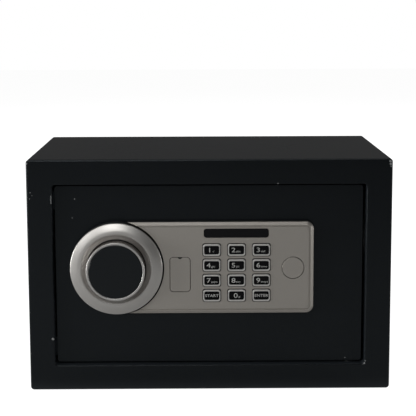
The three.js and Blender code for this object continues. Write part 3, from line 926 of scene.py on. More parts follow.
def softened(
    piece: bpy.types.Object, width: float, flats: int = 2, angle: float = 35.0
) -> bpy.types.Object:
    """Rounds a piece's sharp edges.

    Args:
        piece: the piece.
        width: how wide the rounding is, in millimetres.
        flats: how many flats it has.
        angle: the least angle between faces that is rounded, in degrees.

    Returns:
        The piece.
    """
    edge = piece.modifiers.new("edges", "BEVEL")
    edge.width = width * MM
    edge.segments = flats
    edge.limit_method = "ANGLE"
    edge.angle_limit = math.radians(angle)
    edge.use_clamp_overlap = True
    return baked(piece)


def smoothed(piece: bpy.types.Object, angle: float = 40.0) -> bpy.types.Object:
    """Shades a piece smoothly, with its broad faces kept flat.

    Args:
        piece: the piece.
        angle: up to which angle between faces it is smooth, in degrees.

    Returns:
        The piece.
    """
    piece.data.shade_smooth()
    piece.data.set_sharp_from_angle(angle=math.radians(angle))
    weigh = piece.modifiers.new("normals", "WEIGHTED_NORMAL")
    weigh.keep_sharp = True
    weigh.weight = 60
    return baked(piece)


def refined(node: str, name: str, width: float = 0.2, flats: int = 2) -> bpy.types.Object:
    """A finer copy of a CAD node, with its flat faces made whole and its edges rounded.

    Args:
        node: the node.
        name: the copy's name.
        width: how wide the edges' rounding is, in millimetres.
        flats: how many flats it has.

    Returns:
        The copy.
    """
    shape = bmesh.new()
    shape.from_mesh(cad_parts[node].data)
    bmesh.ops.remove_doubles(shape, verts=shape.verts, dist=CAD_MERGE)
    edges = [edge for edge in shape.edges if len(edge.link_faces) == 2]
    bmesh.ops.dissolve_limit(shape, angle_limit=math.radians(0.5), verts=shape.verts, edges=edges)
    mesh = bpy.data.meshes.new(name)
    shape.to_mesh(mesh)
    shape.free()
    return softened(new_object(name, mesh), width, flats)


def node_box(node: str) -> tuple[Vector, Vector]:
    """A CAD node's lowest and highest corners, in millimetres."""
    low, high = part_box(node)
    return low / MM, high / MM


def dressed(
    piece: bpy.types.Object,
    finish: Finish,
    body: str,
    nodes: Sequence[str] = (),
    angle: float = 40.0,
) -> bpy.types.Object:
    """Finishes a piece and sets it on its body.

    Args:
        piece: the piece.
        finish: its finish.
        body: the body it rides on.
        nodes: the CAD nodes that it stands for.
        angle: up to which angle it is shaded smoothly.

    Returns:
        The piece.
    """
    smoothed(piece, angle)
    piece.data.materials.clear()
    piece.data.materials.append(finish.material())
    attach(piece, body)
    if nodes:
        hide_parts(*nodes)
    log.info("%s on %s: %d faces", piece.name, body, len(piece.data.polygons))
    return piece


# ------------------------------------------------------------------ geometry nodes
UPRIGHT = (math.pi / 2, 0.0, 0.0)


class Recipe:
    """A Geometry Nodes tree with named sizes, which is run once for each mesh wanted of it."""

    def __init__(self, name: str, sizes: dict[str, float | int | Vector]) -> None:
        """Starts a tree.

        Args:
            name: the tree's name.
            sizes: its inputs and their usual values.
        """
        self.tree = bpy.data.node_groups.new(name, "GeometryNodeTree")
        self.tree.interface.new_socket("Geometry", in_out="OUTPUT", socket_type="NodeSocketGeometry")
        kinds = {float: "NodeSocketFloat", int: "NodeSocketInt", Vector: "NodeSocketVector"}
        self.sockets = {
            size: self.tree.interface.new_socket(size, in_out="INPUT", socket_type=kinds[type(value)])
            for size, value in sizes.items()
        }
        self.sizes = dict(sizes)
        self.entry = self.tree.nodes.new("NodeGroupInput")
        self.exit = self.tree.nodes.new("NodeGroupOutput")

    def size(self, name: str) -> bpy.types.NodeSocket:
        """The socket of a named size."""
        return self.entry.outputs[name]

    def node(
        self,
        kind: str,
        settings: dict[str, Any] | None = None,
        inputs: dict[str | int, Any] | None = None,
        output: str | int = 0,
    ) -> bpy.types.NodeSocket:
        """Adds any node.

        Args:
            kind: the node's type.
            settings: its own properties.
            inputs: the value or link of each socket, by name or number.
            output: the output wanted.

        Returns:
            That output.
        """
        made = self.tree.nodes.new(kind)
        for name, value in (settings or {}).items():
            setattr(made, name, value)
        for name, value in (inputs or {}).items():
            if isinstance(value, bpy.types.NodeSocket):
                self.tree.links.new(value, made.inputs[name])
            else:
                made.inputs[name].default_value = value
        return made.outputs[output]

    def end(self, geometry: bpy.types.NodeSocket, finish: Finish) -> None:
        """Ends the tree: makes instances real and gives them their finish.

        Args:
            geometry: what the tree has made.
            finish: its finish.
        """
        real = self.node("GeometryNodeRealizeInstances", inputs={0: geometry})
        coat = {"Geometry": real, "Material": finish.material()}
        painted = self.node("GeometryNodeSetMaterial", inputs=coat)
        self.tree.links.new(painted, self.exit.inputs[0])

    def make(self, name: str, **sizes: Any) -> bpy.types.Object:
        """Runs the tree.

        Args:
            name: the object's name.
            sizes: the inputs that differ from their usual values.

        Returns:
            An object with a plain mesh.
        """
        piece = new_object(name, bpy.data.meshes.new(name))
        modifier = piece.modifiers.new("recipe", "NODES")
        modifier.node_group = self.tree
        for size, value in {**self.sizes, **sizes}.items():
            modifier[self.sockets[size].identifier] = value
        return baked(piece)


def rib_ring(finish: Finish) -> Recipe:
    """Ribs round an axis along Y: the grip of a knob.

    Args:
        finish: the ribs' finish.

    Returns:
        The tree, whose sizes are the ribs' count, ring radius, radius, length and centre.
    """
    sizes = {"Count": 120, "Radius": 0.025, "Rib": 0.0005, "Length": 0.01, "Centre": Vector()}
    recipe = Recipe("rib_ring", sizes)
    round_axis = {"Vertices": recipe.size("Count"), "Radius": recipe.size("Radius")}
    circle = recipe.node("GeometryNodeMeshCircle", inputs=round_axis)
    rib = recipe.node(
        "GeometryNodeMeshCylinder",
        {"fill_type": "NGON"},
        {"Vertices": 6, "Radius": recipe.size("Rib"), "Depth": recipe.size("Length")},
    )
    ribs = recipe.node("GeometryNodeInstanceOnPoints", inputs={"Points": circle, "Instance": rib})
    upright = recipe.node(
        "GeometryNodeTransform",
        inputs={"Geometry": ribs, "Translation": recipe.size("Centre"), "Rotation": UPRIGHT},
    )
    recipe.end(upright, finish)
    return recipe


def grid_of(source: bpy.types.Object, finish: Finish) -> Recipe:
    """Copies of one object on a grid in X and Z.

    Args:
        source: the object that is repeated, built round the origin.
        finish: the copies' finish.

    Returns:
        The tree, whose sizes are the grid's counts, its spans and its centre.
    """
    sizes = {"Across": 2, "Up": 2, "Width": 0.1, "Height": 0.1, "Centre": Vector()}
    recipe = Recipe("grid_of_" + source.name, sizes)
    flat = recipe.node(
        "GeometryNodeMeshGrid",
        inputs={
            "Size X": recipe.size("Width"),
            "Size Y": recipe.size("Height"),
            "Vertices X": recipe.size("Across"),
            "Vertices Y": recipe.size("Up"),
        },
    )
    upright = recipe.node(
        "GeometryNodeTransform",
        inputs={"Geometry": flat, "Translation": recipe.size("Centre"), "Rotation": UPRIGHT},
    )
    shape = recipe.node("GeometryNodeObjectInfo", inputs={"Object": source}, output="Geometry")
    copies = recipe.node("GeometryNodeInstanceOnPoints", inputs={"Points": upright, "Instance": shape})
    recipe.end(copies, finish)
    return recipe


def coil(finish: Finish) -> Recipe:
    """A wire wound in a helix along Z.

    Args:
        finish: the wire's finish.

    Returns:
        The tree, whose sizes are its turns, end radii, height, wire radius and centre.
    """
    sizes = {"Turns": 6.0, "Bottom": 0.003, "Top": 0.003, "Height": 0.01}
    sizes |= {"Wire": 0.0004, "Centre": Vector()}
    recipe = Recipe("coil", sizes)
    helix = recipe.node(
        "GeometryNodeCurveSpiral",
        inputs={
            "Resolution": 28,
            "Rotations": recipe.size("Turns"),
            "Start Radius": recipe.size("Bottom"),
            "End Radius": recipe.size("Top"),
            "Height": recipe.size("Height"),
        },
    )
    round_wire = {"Resolution": 10, "Radius": recipe.size("Wire")}
    section = recipe.node("GeometryNodeCurvePrimitiveCircle", inputs=round_wire)
    along = {"Curve": helix, "Profile Curve": section, "Fill Caps": True}
    tube = recipe.node("GeometryNodeCurveToMesh", inputs=along)
    move = {"Geometry": tube, "Translation": recipe.size("Centre")}
    placed = recipe.node("GeometryNodeTransform", inputs=move)
    recipe.end(placed, finish)
    return recipe


def smooth_line(points: Sequence[Vector], steps: int) -> list[Vector]:
    """A smooth line through some points.

    Args:
        points: the points it passes through.
        steps: how many steps it takes between two of them.

    Returns:
        The line's points.
    """
    ends = [2 * points[0] - points[1], *points, 2 * points[-1] - points[-2]]
    made = []
    for a, b, c, d in zip(ends, ends[1:], ends[2:], ends[3:]):
        for step in range(steps):
            t = step / steps
            square = (2 * a - 5 * b + 4 * c - d) * t**2
            cube = (3 * b - a - 3 * c + d) * t**3
            made.append(0.5 * (2 * b + (c - a) * t + square + cube))
    return [*made, points[-1]]


# ------------------------------------------------------------------ the finishes used
KNOB_LOW, KNOB_HIGH = node_box("knob_body")
DIAL_CENTRE: Point2 = ((KNOB_LOW.x + KNOB_HIGH.x) / 2, (KNOB_LOW.z + KNOB_HIGH.z) / 2)
FASCIA_LOW, FASCIA_HIGH = node_box("fascia_shell")
BLACK_PAINT: Colour = (0.0032, 0.0039, 0.0047)

DOOR_PAINT = PowderCoat(
    "door_powder_coat",
    BLACK_PAINT,
    0.25,
    chips_and_highlights=(
        ChipAndHighlight(-114.8, -93.0, 165.5, 0.45),
        ChipAndHighlight(-117.1, -93.0, 149.4, 0.4),
        ChipAndHighlight(117.0, -93.0, 25.5, 0.4),
    ),
)
EDGE_SCRAPE = tuple(ChipAndHighlight(-134.1, -99.9, 169.0 - 1.2 * step, 0.5) for step in range(6))
CABINET_PAINT = PowderCoat(
    "cabinet_powder_coat",
    BLACK_PAINT,
    0.25,
    chips_and_highlights=(
        *EDGE_SCRAPE,
        ChipAndHighlight(-135.0, -100.0, 45.2, 1.1),
        ChipAndHighlight(-151.6, -100.0, 172.0, 0.4),
        ChipAndHighlight(-150.0, -100.0, 169.6, 0.3),
        ChipAndHighlight(-152.2, -100.0, 166.8, 0.35),
        ChipAndHighlight(58.0, -100.0, 179.2, 0.5),
        ChipAndHighlight(-154.0, -99.8, 196.6, 0.7),
        # Painted highlight: these three spots down the top right corner's fold stand for its glint as well
        # as for knocks.
        ChipAndHighlight(152.8, -100.0, 197.6, 1.0),
        ChipAndHighlight(153.0, -100.0, 195.4, 0.9),
        ChipAndHighlight(153.4, -100.0, 193.4, 0.6),
        # Painted highlight: these two spots stand for the glint at the opening's lower right corner as well
        # as for knocks.
        ChipAndHighlight(133.0, -99.7, 22.4, 0.9),
        ChipAndHighlight(133.9, -99.9, 24.6, 0.5),
    ),
)
# Painted light: the return round the opening is the body's black steel made about six times lighter, for
# the light it would catch in the recess round the door.
FRAME_PAINT_WITH_PAINTED_LIGHT = PowderCoat("frame_powder_coat", (0.022, 0.026, 0.031), 0.45, peel=700.0)
INNER_PAINT = PowderCoat("inner_powder_coat", (0.011, 0.012, 0.0125), 0.5, peel=700.0)
# Each silver below turns dark behind its given depth: painted shade in the gaps round the keys, port cover
# and keyhole cap, and the darker side walls of the fascia.
KEY_SILVER = SilverLacquer("key_silver", (0.64, 0.63, 0.61), 0.34, dark_behind=-102.3)
SILVER = SilverLacquer("silver_lacquer", (0.405, 0.382, 0.348), 0.42, dark_behind=-101.35)
FASCIA_SILVER = SilverLacquer("fascia_lacquer", (0.405, 0.382, 0.348), 0.42, dark_behind=-100.2)
RING_SILVER = TurnedSilver("ring_silver", (0.56, 0.545, 0.52), 0.34, centre=DIAL_CENTRE)
KNOB_SILVER = TurnedSilver("knob_silver", (0.58, 0.57, 0.55), 0.3, centre=DIAL_CENTRE, pitch=0.1)
RIB_METAL = TurnedSilver("rib_metal", (0.17, 0.145, 0.135), 0.45, centre=DIAL_CENTRE)
GLOSS = BlackGloss("black_gloss", (0.0055, 0.0075, 0.009), 0.16, shine=0.24)
WINDOW_GLOSS = BlackGloss("window_gloss", (0.004, 0.004, 0.005), 0.1, shine=0.16)
KEY_BLACK = BlackGloss("key_black", (0.004, 0.004, 0.0045), 0.2, shine=0.09)
BLACK_PLASTIC = Moulded("black_plastic", (0.016, 0.016, 0.017), 0.5)
GREY_RUBBER = Moulded("keypad_rubber", (0.05, 0.05, 0.052), 0.75, grain=1500.0)
RED_PLASTIC = Moulded("red_plastic", (0.42, 0.025, 0.02), 0.4)
ZINC = ZincPlate("zinc_plate", (0.62, 0.62, 0.61), 0.32)
COPPER_WIRE = ZincPlate("enamelled_wire", (0.55, 0.2, 0.09), 0.3)
BRASS = Brass("machined_brass", (0.66, 0.46, 0.2), 0.3)
FELT = NeedleFelt("needle_felt", (0.022, 0.023, 0.025), 0.95)
BOARD_GREEN = SolderMask("solder_mask", (0.012, 0.085, 0.035), 0.42)
INK = KeyInk("key_ink", (0.5, 0.5, 0.485), 0.5)


class Lead(Enum):
    """The leads of the wire loom, by the colour of their sleeves."""

    RED = (0.42, 0.02, 0.015)
    BLACK = (0.014, 0.014, 0.014)
    YELLOW = (0.5, 0.36, 0.03)

    def finish(self) -> Finish:
        """The finish of its sleeve."""
        return Moulded(f"sleeve_{self.name.lower()}", self.value, 0.38, grain=900.0, depth=0.006)


# ------------------------------------------------------------------ the cabinet
@dataclass
class Cabinet:
    """The folded steel body, its door frame, back, hinge pins and floor mat."""

    sheet: float = 1.5
    corner: float = 3.0
    fold: float = 1.6
    rolled: float = 1.3
    anchor: float = 5.0
    anchor_x: float = 75.0
    anchor_y: float = 20.0
    slot_half: float = 10.0
    pin_hole: float = 3.2
    stop_heights: tuple[float, float] = (36.0, 164.0)
    stop_half: float = 8.0
    stop_reach: float = 5.5
    flange_in: float = 8.0
    mouth_out: float = 5.0
    weld: float = 2.6
    weld_lap: float = 0.2

    def build(self) -> None:
        """Builds and dresses every piece."""
        self.low, self.high = node_box("cabinet_wrap")
        self.mid = (self.low.z + self.high.z) / 2
        frame_low, frame_high = node_box("door_frame")
        self.mouth = RoundedRect(
            frame_high.x - frame_low.x - 2 * self.sheet,
            frame_high.z - frame_low.z - 2 * self.sheet,
            self.corner,
            z=self.mid,
        )
        self.wrap()
        self.door_frame(frame_low, frame_high)
        self.back_panel()
        self.floor_mat()
        self.hinge_pins()

    def anchor_cutters(self, along: Callable[[float], tuple[Vector, Vector]]) -> list[bpy.types.Object]:
        """Cutters for the two anchor holes.

        Args:
            along: gives a hole's two ends from its X.

        Returns:
            The cutters.
        """
        made = []
        for x in (-self.anchor_x, self.anchor_x):
            start, end = along(x)
            reach = (end - start).length
            section = [(0, 0), (self.anchor, 0), (self.anchor, reach), (0, reach)]
            made.append(bar("anchor_cut", start, end, section, 40))
        return made

    def wrap(self) -> None:
        """The body: four walls and the front flange, folded from one sheet."""
        width, height = self.high.x - self.low.x, self.high.z - self.low.z
        front, back, sheet = self.low.y, self.high.y, self.sheet
        outer = RoundedRect(width, height, self.corner, z=self.mid)
        inner = RoundedRect(width - 2 * sheet, height - 2 * sheet, self.corner - sheet, z=self.mid)
        inside = front + sheet
        land = self.mouth_out
        loops = outer.path([(0, back), (0, front), (-self.flange_in, front)], self.fold, 6)
        loops += self.mouth.path([(land, front), (0, front), (0, inside), (land, inside)], self.rolled, 5)
        loops += inner.path([(-6, inside), (0, inside), (0, back)], 0.9, 3)
        body = swept("cabinet_body", loops, closed=True)
        at, under, over = self.anchor_y, self.low.z - 2, self.low.z + 4
        carved(body, self.anchor_cutters(lambda x: (Vector((x, at, under)), Vector((x, at, over)))))
        softened(body, 0.25, 2)
        dressed(body, CABINET_PAINT, "cabinet", ["cabinet_wrap"])

    def door_frame(self, low: Vector, high: Vector) -> None:
        """The return round the opening, with its bolt slots, pin holes and door stops.

        Args:
            low: its lowest corner, in millimetres.
            high: its highest corner.
        """
        section = [(0, low.y), (self.sheet, low.y), (self.sheet, high.y), (0, high.y)]
        ring = swept("frame_return", self.mouth.path(section, 0.25, 2, closed=True), closed=True)
        bolt_low, bolt_high = node_box("upper_bolt")
        lower_low, lower_high = node_box("lower_bolt")
        bolt_y = (bolt_low.y + bolt_high.y) / 2
        half = self.slot_half
        cutters = []
        for z in ((bolt_low.z + bolt_high.z) / 2, (lower_low.z + lower_high.z) / 2):
            start = (low.x - 2, bolt_y - half + 1, z - half)
            end = (low.x + 4, bolt_y + half - 1, z + half)
            cutters.append(box("slot_cut", start, end))
        for pin in ("upper_hinge_pin", "lower_hinge_pin"):
            pin_low, pin_high = node_box(pin)
            middle = (pin_low + pin_high) / 2
            wall = high.z if pin.startswith("upper") else low.z
            start, end = middle.copy(), middle.copy()
            start.z, end.z = wall - 4, wall + 4
            hole = self.pin_hole
            cutters.append(bar("pin_cut", start, end, [(0, 0), (hole, 0), (hole, 8), (0, 8)], 32))
        carved(ring, cutters)
        softened(ring, 0.25, 2)
        stops = []
        stop_y = node_box("door_plate")[1].y + 0.4
        for z in self.stop_heights:
            start = (low.x + self.sheet - 0.4, stop_y, z - self.stop_half)
            end = (low.x + self.stop_reach, stop_y + self.sheet, z + self.stop_half)
            stops.append(softened(box("stop", start, end), 0.4, 3))
        made = joined("frame_return_body", [ring, *stops])
        dressed(made, FRAME_PAINT_WITH_PAINTED_LIGHT, "cabinet", ["door_frame"])

    def back_panel(self) -> None:
        """The back, welded in, with two anchor holes and a row of spot welds along its top and bottom
        edges.
        """
        low, high = node_box("back_panel")
        outline = RoundedRect(high.x - low.x, high.z - low.z, 1.3, z=self.mid)
        lap = self.weld_lap
        section = [(-12, high.y), (lap, high.y), (lap, low.y), (-12, low.y)]
        panel = swept("back_plate", outline.path(section, 0.2, 3))
        ends = (low.y - 2, high.y + 2)
        carved(
            panel,
            self.anchor_cutters(lambda x: (Vector((x, ends[0], self.mid)), Vector((x, ends[1], self.mid)))),
        )
        softened(panel, 0.2, 2)
        dressed(panel, CABINET_PAINT, "cabinet", ["back_panel"])
        weld = self.weld
        dimple = bar(
            "weld",
            (0, 0.08, 0),
            (0, -1, 0),
            [(0, 0), (weld * 0.55, 0), (weld * 0.7, -0.18), (weld * 0.95, -0.18), (weld, 0.2), (0, 0.2)],
            20,
        )
        recipe = grid_of(dimple, CABINET_PAINT)
        sizes = {"Width": (high.x - low.x - 16) * MM, "Height": (high.z - low.z - 12) * MM}
        centre = Vector((0, high.y, self.mid)) * MM
        welds = recipe.make("spot_welds", Across=8, Up=2, Centre=centre, **sizes)
        bpy.data.objects.remove(dimple)
        dressed(welds, CABINET_PAINT, "cabinet")

    def floor_mat(self) -> None:
        """The felt mat on the safe's floor."""
        mat = refined("floor_mat", "felt_mat", 0.9, 3)
        dressed(mat, FELT, "cabinet", ["floor_mat"])

    def hinge_pins(self) -> None:
        """The two headed pins that the door turns on."""
        for node in ("upper_hinge_pin", "lower_hinge_pin"):
            low, high = node_box(node)
            upper = node.startswith("upper")
            middle = (low + high) / 2
            head, tip = middle.copy(), middle.copy()
            head.z, tip.z = (high.z, low.z) if upper else (low.z, high.z)
            reach = high.z - low.z
            section = [(0, 0), (3.6, 0.05), (4.3, 0.6), (4.5, 1.2), (4.5, 1.9), (3, 2.0)]
            section += [(3, reach - 0.9), (2.2, reach), (0, reach)]
            pin = bar(node + "_rod", head, tip, section, 48)
            dressed(pin, ZINC, "cabinet", [node])


# ------------------------------------------------------------------ the door
@dataclass
class Door:
    """The door plate, its hinge knuckles, and the cover over the mechanism with its screws."""

    corner: float = 2.5
    edge: float = 0.3
    spindle: float = 5.2
    keyhole: float = 9.6
    wire_hole: float = 3.5
    screw_head: float = 3.6
    screw_tall: float = 2.2
    screw_shank: float = 1.9
    screw_tip: float = 1.3
    bit_half: float = 0.38
    bit_reach: float = 2.0
    bit_deep: float = 1.1

    def build(self) -> None:
        """Builds and dresses every piece."""
        self.plate()
        self.knuckles()
        self.cover()
        self.cover_screws()

    def plate(self) -> None:
        """The door's steel plate."""
        low, high = node_box("door_plate")
        middle = (low + high) / 2
        outline = RoundedRect(high.x - low.x, high.z - low.z, self.corner, middle.x, middle.z)
        section = [(-10, high.y), (0, high.y), (0, low.y), (-10, low.y)]
        plate = swept("door_panel", outline.path(section, self.edge, 5))
        lock_low, lock_high = node_box("lock_plug")
        lock = (lock_low + lock_high) / 2
        wire = node_box("keypad_board")
        cutters = [
            bar("cut", (x, low.y - 2, z), (x, high.y + 2, z), [(0, 0), (r, 0), (r, 7), (0, 7)], 64)
            for x, z, r in (
                (*DIAL_CENTRE, self.spindle),
                (lock.x, lock.z, self.keyhole),
                (LOOM_X, wire[0].z + 2, self.wire_hole),
            )
        ]
        carved(plate, cutters)
        dressed(plate, DOOR_PAINT, "door", ["door_plate"])

    def knuckles(self) -> None:
        """The two barrels on the back of the door."""
        for node in ("upper_hinge_knuckle", "lower_hinge_knuckle"):
            dressed(refined(node, node + "_barrel", 0.35, 3), INNER_PAINT, "door", [node])

    def cover(self) -> None:
        """The pan over the lock work on the door's back."""
        pan = refined("mechanism_cover", "mechanism_pan", 0.4, 3)
        dressed(pan, INNER_PAINT, "door", ["mechanism_cover"])

    def cover_screws(self) -> None:
        """The cover's four pan-head screws."""
        boxes = [node_box(f"cover_screw_{n}") for n in range(1, 5)]
        centres = [(low + high) / 2 for low, high in boxes]
        front, back = boxes[0][0].y, boxes[0][1].y
        head, tall, shank, reach = self.screw_head, self.screw_tall, self.screw_shank, back - front
        section = [(0, 0), (head * 0.35, 0.06), (head * 0.72, 0.3), (head * 0.95, 0.95), (head, tall - 0.5)]
        section += [(head, tall), (shank, tall), (shank, reach - 0.4), (self.screw_tip, reach), (0, reach)]
        screw = bar("screw", (0, back, 0), (0, front, 0), section, 40)
        floor = back - self.bit_deep
        bits = [
            box("bit", (-across, floor, -up), (across, back + 1, up))
            for across, up in ((self.bit_reach, self.bit_half), (self.bit_half, self.bit_reach))
        ]
        carved(screw, bits)
        recipe = grid_of(screw, ZINC)
        xs, zs = [c.x for c in centres], [c.z for c in centres]
        screws = recipe.make(
            "cover_screws",
            Width=(max(xs) - min(xs)) * MM,
            Height=(max(zs) - min(zs)) * MM,
            Centre=Vector(((max(xs) + min(xs)) / 2, 0, (max(zs) + min(zs)) / 2)) * MM,
        )
        bpy.data.objects.remove(screw)
        dressed(screws, ZINC, "door", [f"cover_screw_{n}" for n in range(1, 5)])


# ------------------------------------------------------------------ the fascia
@dataclass
class Fascia:
    """The silver fascia with its display window, port cover and keyhole cap."""

    corner: float = 6.5
    bevel: float = 2.5
    rise: float = 1.7
    wall: float = 2.0
    groove_in: float = 3.1
    groove: float = 1.0
    groove_deep: float = 1.0
    edge: float = 0.25
    # The cut round the dial is this much wider than the ring, so the black base shows as a dark ring round
    # it: partly the real gap, partly a painted shadow of the ring on the fascia.
    dial_room: float = 1.3

    def build(self) -> None:
        """Builds and dresses every piece."""
        self.face = FASCIA_LOW.y
        self.shell()
        self.window()
        self.port()
        self.keyhole_cap()

    def shell(self) -> None:
        """The moulding: a bevelled border, a fine groove inside it, and a hole for each control."""
        back = FASCIA_HIGH.y
        outline = FasciaOutline(
            DIAL_CENTRE[0] - 20, FASCIA_HIGH.x, FASCIA_LOW.z, FASCIA_HIGH.z, self.corner
        )
        face, inner = self.face, self.face + self.wall
        start = self.groove_in
        end = start + self.groove
        loops = outline.path([(-10, inner), (-3.2, inner), (-2.2, back), (0, back)], 0.5, 3)
        border = [(0, back - 0.1), (0, face + self.rise), (-self.bevel, face), (-start + 0.1, face)]
        loops += outline.path(border, 0.5, 4)
        floor = face + self.groove_deep
        channel = [(start, face), (start + 0.1, floor), (end - 0.1, floor), (end, face)]
        loops += [outline.loop(-inset, y) for inset, y in channel]
        loops += [outline.loop(-end - 3, face)]
        shell = swept("fascia_moulding", loops)
        carved(shell, self.cutters(face - 3, back + 2))
        softened(shell, self.edge, 2, 50.0)
        dressed(shell, FASCIA_SILVER, "door", ["fascia_shell"], 32.0)

    def cutters(self, front: float, back: float) -> list[bpy.types.Object]:
        """What is cut from the moulding: the dial's place, and each control's hole.

        Args:
            front: where the cuts start, in millimetres.
            back: where they end.

        Returns:
            The cutters.
        """
        through = (front, self.face + self.wall + 1.5)
        dial = node_box("dial_ring")
        radius = (dial[1].x - dial[0].x) / 2 + self.dial_room
        made = [
            swept("cut", Circle(*DIAL_CENTRE).path([(radius, front), (radius, back)])),
            box("cut", (DIAL_CENTRE[0] - 60, front, 0), (DIAL_CENTRE[0] + 3, back, 200)),
        ]
        rooms = [("display_window", 2.2, 0.2), ("port_cover", 2.8, 0.4), ("keyhole_cap", None, 0.4)]
        rooms += [(node, 2.3, -0.3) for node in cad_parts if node.startswith("key_")]
        for node, corner, room in rooms:
            low, high = node_box(node)
            middle, size = (low + high) / 2, high - low
            if corner is None:
                hole = Circle(middle.x, middle.z, 96)
                made.append(swept("cut", hole.path([(size.x / 2 + room, y) for y in through])))
            else:
                hole = RoundedRect(size.x, size.z, corner, middle.x, middle.z)
                made.append(swept("cut", hole.path([(room, y) for y in through])))
        return made

    def inset_plate(self, node: str, name: str, corner: float, edge: float) -> bpy.types.Object:
        """A flat piece with rounded edges that fills a hole in the moulding.

        Args:
            node: the CAD node whose place it takes.
            name: the piece's name.
            corner: the radius of its corners, in millimetres.
            edge: the radius of its edges.

        Returns:
            The piece.
        """
        low, high = node_box(node)
        middle, size = (low + high) / 2, high - low
        outline = RoundedRect(size.x, size.z, corner, middle.x, middle.z)
        section = [(-1.5, high.y), (0, high.y), (0, low.y), (-1.5, low.y)]
        return swept(name, outline.path(section, edge, 4))

    def window(self) -> None:
        """The dark display window."""
        window = self.inset_plate("display_window", "display_lens", 2.0, 0.35)
        dressed(window, WINDOW_GLOSS, "door", ["display_window"])

    def port(self) -> None:
        """The cover of the spare-battery port, with its pry notch, and the socket under it."""
        cover = self.inset_plate("port_cover", "port_lid", 2.8, 0.45)
        low, high = node_box("port_cover")
        middle = (low + high) / 2
        notch = Circle(middle.x, high.z + 0.7, 48).path([(2.1, low.y - 1), (2.1, low.y + 1.1)])
        carved(cover, [swept("cut", notch)])
        softened(cover, 0.1, 2, 50.0)
        dressed(cover, SILVER, "port_cover", ["port_cover"])
        socket = refined("port_socket", "port_socket_block", 0.3, 3)
        dressed(socket, BLACK_PLASTIC, "door", ["port_socket"])

    def keyhole_cap(self) -> None:
        """The round cap over the emergency lock."""
        low, high = node_box("keyhole_cap")
        middle, radius = (low + high) / 2, (high.x - low.x) / 2
        front = low.y - 0.15
        section = [(0.5, high.y), (radius - 0.4, high.y), (radius, front + 0.6), (radius - 0.25, front)]
        section += [(0.5, front)]
        cap = swept("lock_cap", Circle(middle.x, middle.z).path(section, 0.3, 4))
        dressed(cap, SILVER, "keyhole_cap", ["keyhole_cap"])


# ------------------------------------------------------------------ the keypad
@dataclass(frozen=True)
class Legend:
    """What is printed on a key: a figure or word, and small letters beside it, moved right by shift."""

    large: str
    small: str = ""
    shift: float = 0.0


LEGENDS: dict[str, Legend] = {
    "1": Legend("1", "-/", 0.9),
    "2": Legend("2", "abc"),
    "3": Legend("3", "def"),
    "4": Legend("4", "ghi"),
    "5": Legend("5", "jkl"),
    "6": Legend("6", "mno"),
    "7": Legend("7", "pqrs"),
    "8": Legend("8", "tuv"),
    "9": Legend("9", "wxyz"),
    "start": Legend("START"),
    "0": Legend("0", "#", 1.9),
    "enter": Legend("ENTER"),
}
INK_DEPTH = 0.03
LETTER_SPACING = 1.02


